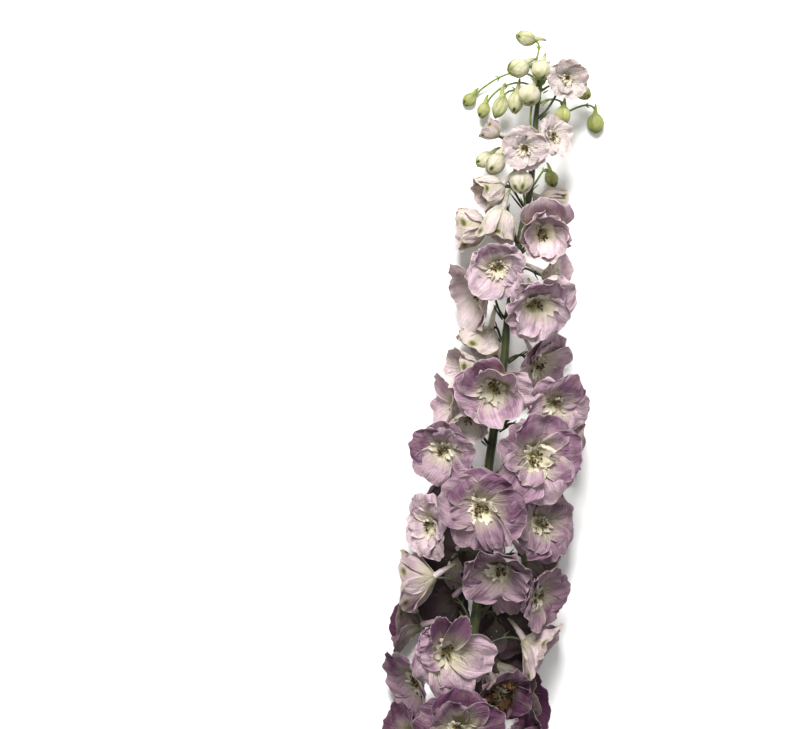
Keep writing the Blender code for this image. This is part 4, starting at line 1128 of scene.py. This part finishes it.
def make_green():
    t, u, v, age, rnd, cut, long, blot, col, gloss = green_tree(
        "stalk_green", srgb(32, 38, 14), srgb(50, 58, 22), srgb(82, 92, 38))
    young = t.mix(t.remap(blot, 0.35, 0.7), srgb(110, 136, 52), srgb(150, 172, 84))
    col = t.mix(t.remap(age, 0.2, 0.75, 1.0, 0.0), col, young)
    col = t.mix(t.remap(rnd, 0.75, 1.0, 0.0, 0.35), col, srgb(96, 66, 52))
    hair = t.noise(t.coords(), 2200.0, 2.0, 0.7)
    height = t.math("ADD", long, t.math("MULTIPLY", hair, 0.5))
    return t.surface(col, t.remap(hair, 0.3, 0.7, 0.42, 0.62), t.bump(height, 0.4, 0.0004), spec=0.35, sheen=0.12)


def make_stem():
    t, u, v, age, rnd, cut, long, blot, col, gloss = green_tree(
        "stem_green", srgb(34, 40, 16), srgb(58, 66, 28), srgb(98, 108, 50))
    tint = t.remap(u, 0.0, 0.30, 1.0, 0.0)
    col = t.mix(t.math("MULTIPLY", tint, 0.5), col, srgb(84, 92, 44))
    col = t.mix(t.remap(blot, 0.58, 0.78, 0.0, 0.35), col, srgb(86, 66, 44))
    obj = t.coords()
    pith = t.noise(obj, 1300.0, 4.0, 0.7)
    col = t.mix(cut, col, t.mix(t.remap(pith, 0.35, 0.7), srgb(206, 208, 150), srgb(168, 176, 104)))
    hair = t.noise(obj, 1800.0, 2.0, 0.7)
    height = t.math("ADD", t.math("MULTIPLY", long, 1.2), t.math("MULTIPLY", hair, 0.35))
    return t.surface(col, t.remap(hair, 0.3, 0.7, 0.38, 0.56), t.bump(height, 0.5, 0.0006), spec=0.4, sheen=0.08)


def make_tipbud():
    t, u, v, age, rnd, cut, long, blot, col, gloss = green_tree(
        "tip_bud_green", srgb(96, 122, 40), srgb(140, 162, 66), srgb(186, 198, 118))
    seam = t.noise(t.combine(t.math("MULTIPLY", v, 4.0), u, t.math("MULTIPLY", rnd, 20.0)), 1.4, 2.0, 0.5)
    col = t.mix(t.remap(seam, 0.5, 0.66, 0.0, 0.4), col, srgb(104, 128, 48))
    return t.surface(col, 0.48, t.bump(seam, 0.4, 0.0004), spec=0.35, sheen=0.1)


MATS["sepal"] = make_sepal()
MATS["bee"] = make_bee()
MATS["anther"] = make_anther()
MATS["filament"] = make_filament()
MATS["green"] = make_green()
MATS["stem"] = make_stem()
MATS["tipbud"] = make_tipbud()

# ------------------------------------------------------------------ camera, light and floor
scene = bpy.context.scene
scene.view_settings.view_transform = "Standard"
scene.view_settings.look = "None"
CAM_HEIGHT = 2.4
cam_data = bpy.data.cameras.new("camera")
cam_data.sensor_width = 36.0
cam_data.sensor_fit = "HORIZONTAL"
cam_data.lens = 36.0 * CAM_HEIGHT / (795 * 0.0007)
cam_data.clip_start = 0.1
cam_data.clip_end = 20.0
cam = bpy.data.objects.new("camera", cam_data)
cam.location = (-0.0741, 0.1183, CAM_HEIGHT)
cam.rotation_euler = (0.0, 0.0, math.radians(6.45))
scene.collection.objects.link(cam)
scene.camera = cam

floor_mesh = bpy.data.meshes.new("floor")
floor_mesh.from_pydata([(-6, -6, 0), (6, -6, 0), (6, 6, 0), (-6, 6, 0)], [], [(0, 1, 2, 3)])
floor = bpy.data.objects.new("floor", floor_mesh)
scene.collection.objects.link(floor)
ft = Tree("floor_paper")
fn = ft.noise(ft.coords(), 60.0, 3.0, 0.5)
ft.surface(ft.mix(ft.remap(fn, 0.3, 0.7), (0.91, 0.91, 0.91), (0.93, 0.93, 0.93)), 0.9,
           ft.bump(fn, 0.05, 0.001), spec=0.1, tone=1.0)
floor_mesh.materials.append(ft.mat)


def area(name, loc, target, size, power, colour=(1, 1, 1), size_y=None):
    d = bpy.data.lights.new(name, "AREA")
    d.shape = "RECTANGLE"
    d.size = size
    d.size_y = size_y or size
    d.energy = power
    d.color = colour
    ob = bpy.data.objects.new(name, d)
    ob.location = loc
    ob.rotation_euler = (Vector(target) - Vector(loc)).to_track_quat("-Z", "Y").to_euler()
    scene.collection.objects.link(ob)
    return ob


area("key_light", (-0.5, 2.0, 2.3), (0.0, 0.05, 0.03), 1.1, 182.0, (1.0, 0.99, 0.975))
area("top_light", (0.3, 0.1, 2.9), (0.0, 0.0, 0.0), 1.4, 18.0)
world = bpy.data.worlds.new("studio")
scene.world = world
world.use_nodes = True
world.node_tree.nodes["Background"].inputs[0].default_value = (1.0, 1.0, 1.0, 1.0)
world.node_tree.nodes["Background"].inputs[1].default_value = 0.28

# ------------------------------------------------------------------ build everything
build_stem()
for i, row in enumerate(FLOWERS):
    build_flower(row, 100 + 7 * i)
for i, row in enumerate(BUDS):
    build_bud(row, 900 + 11 * i)
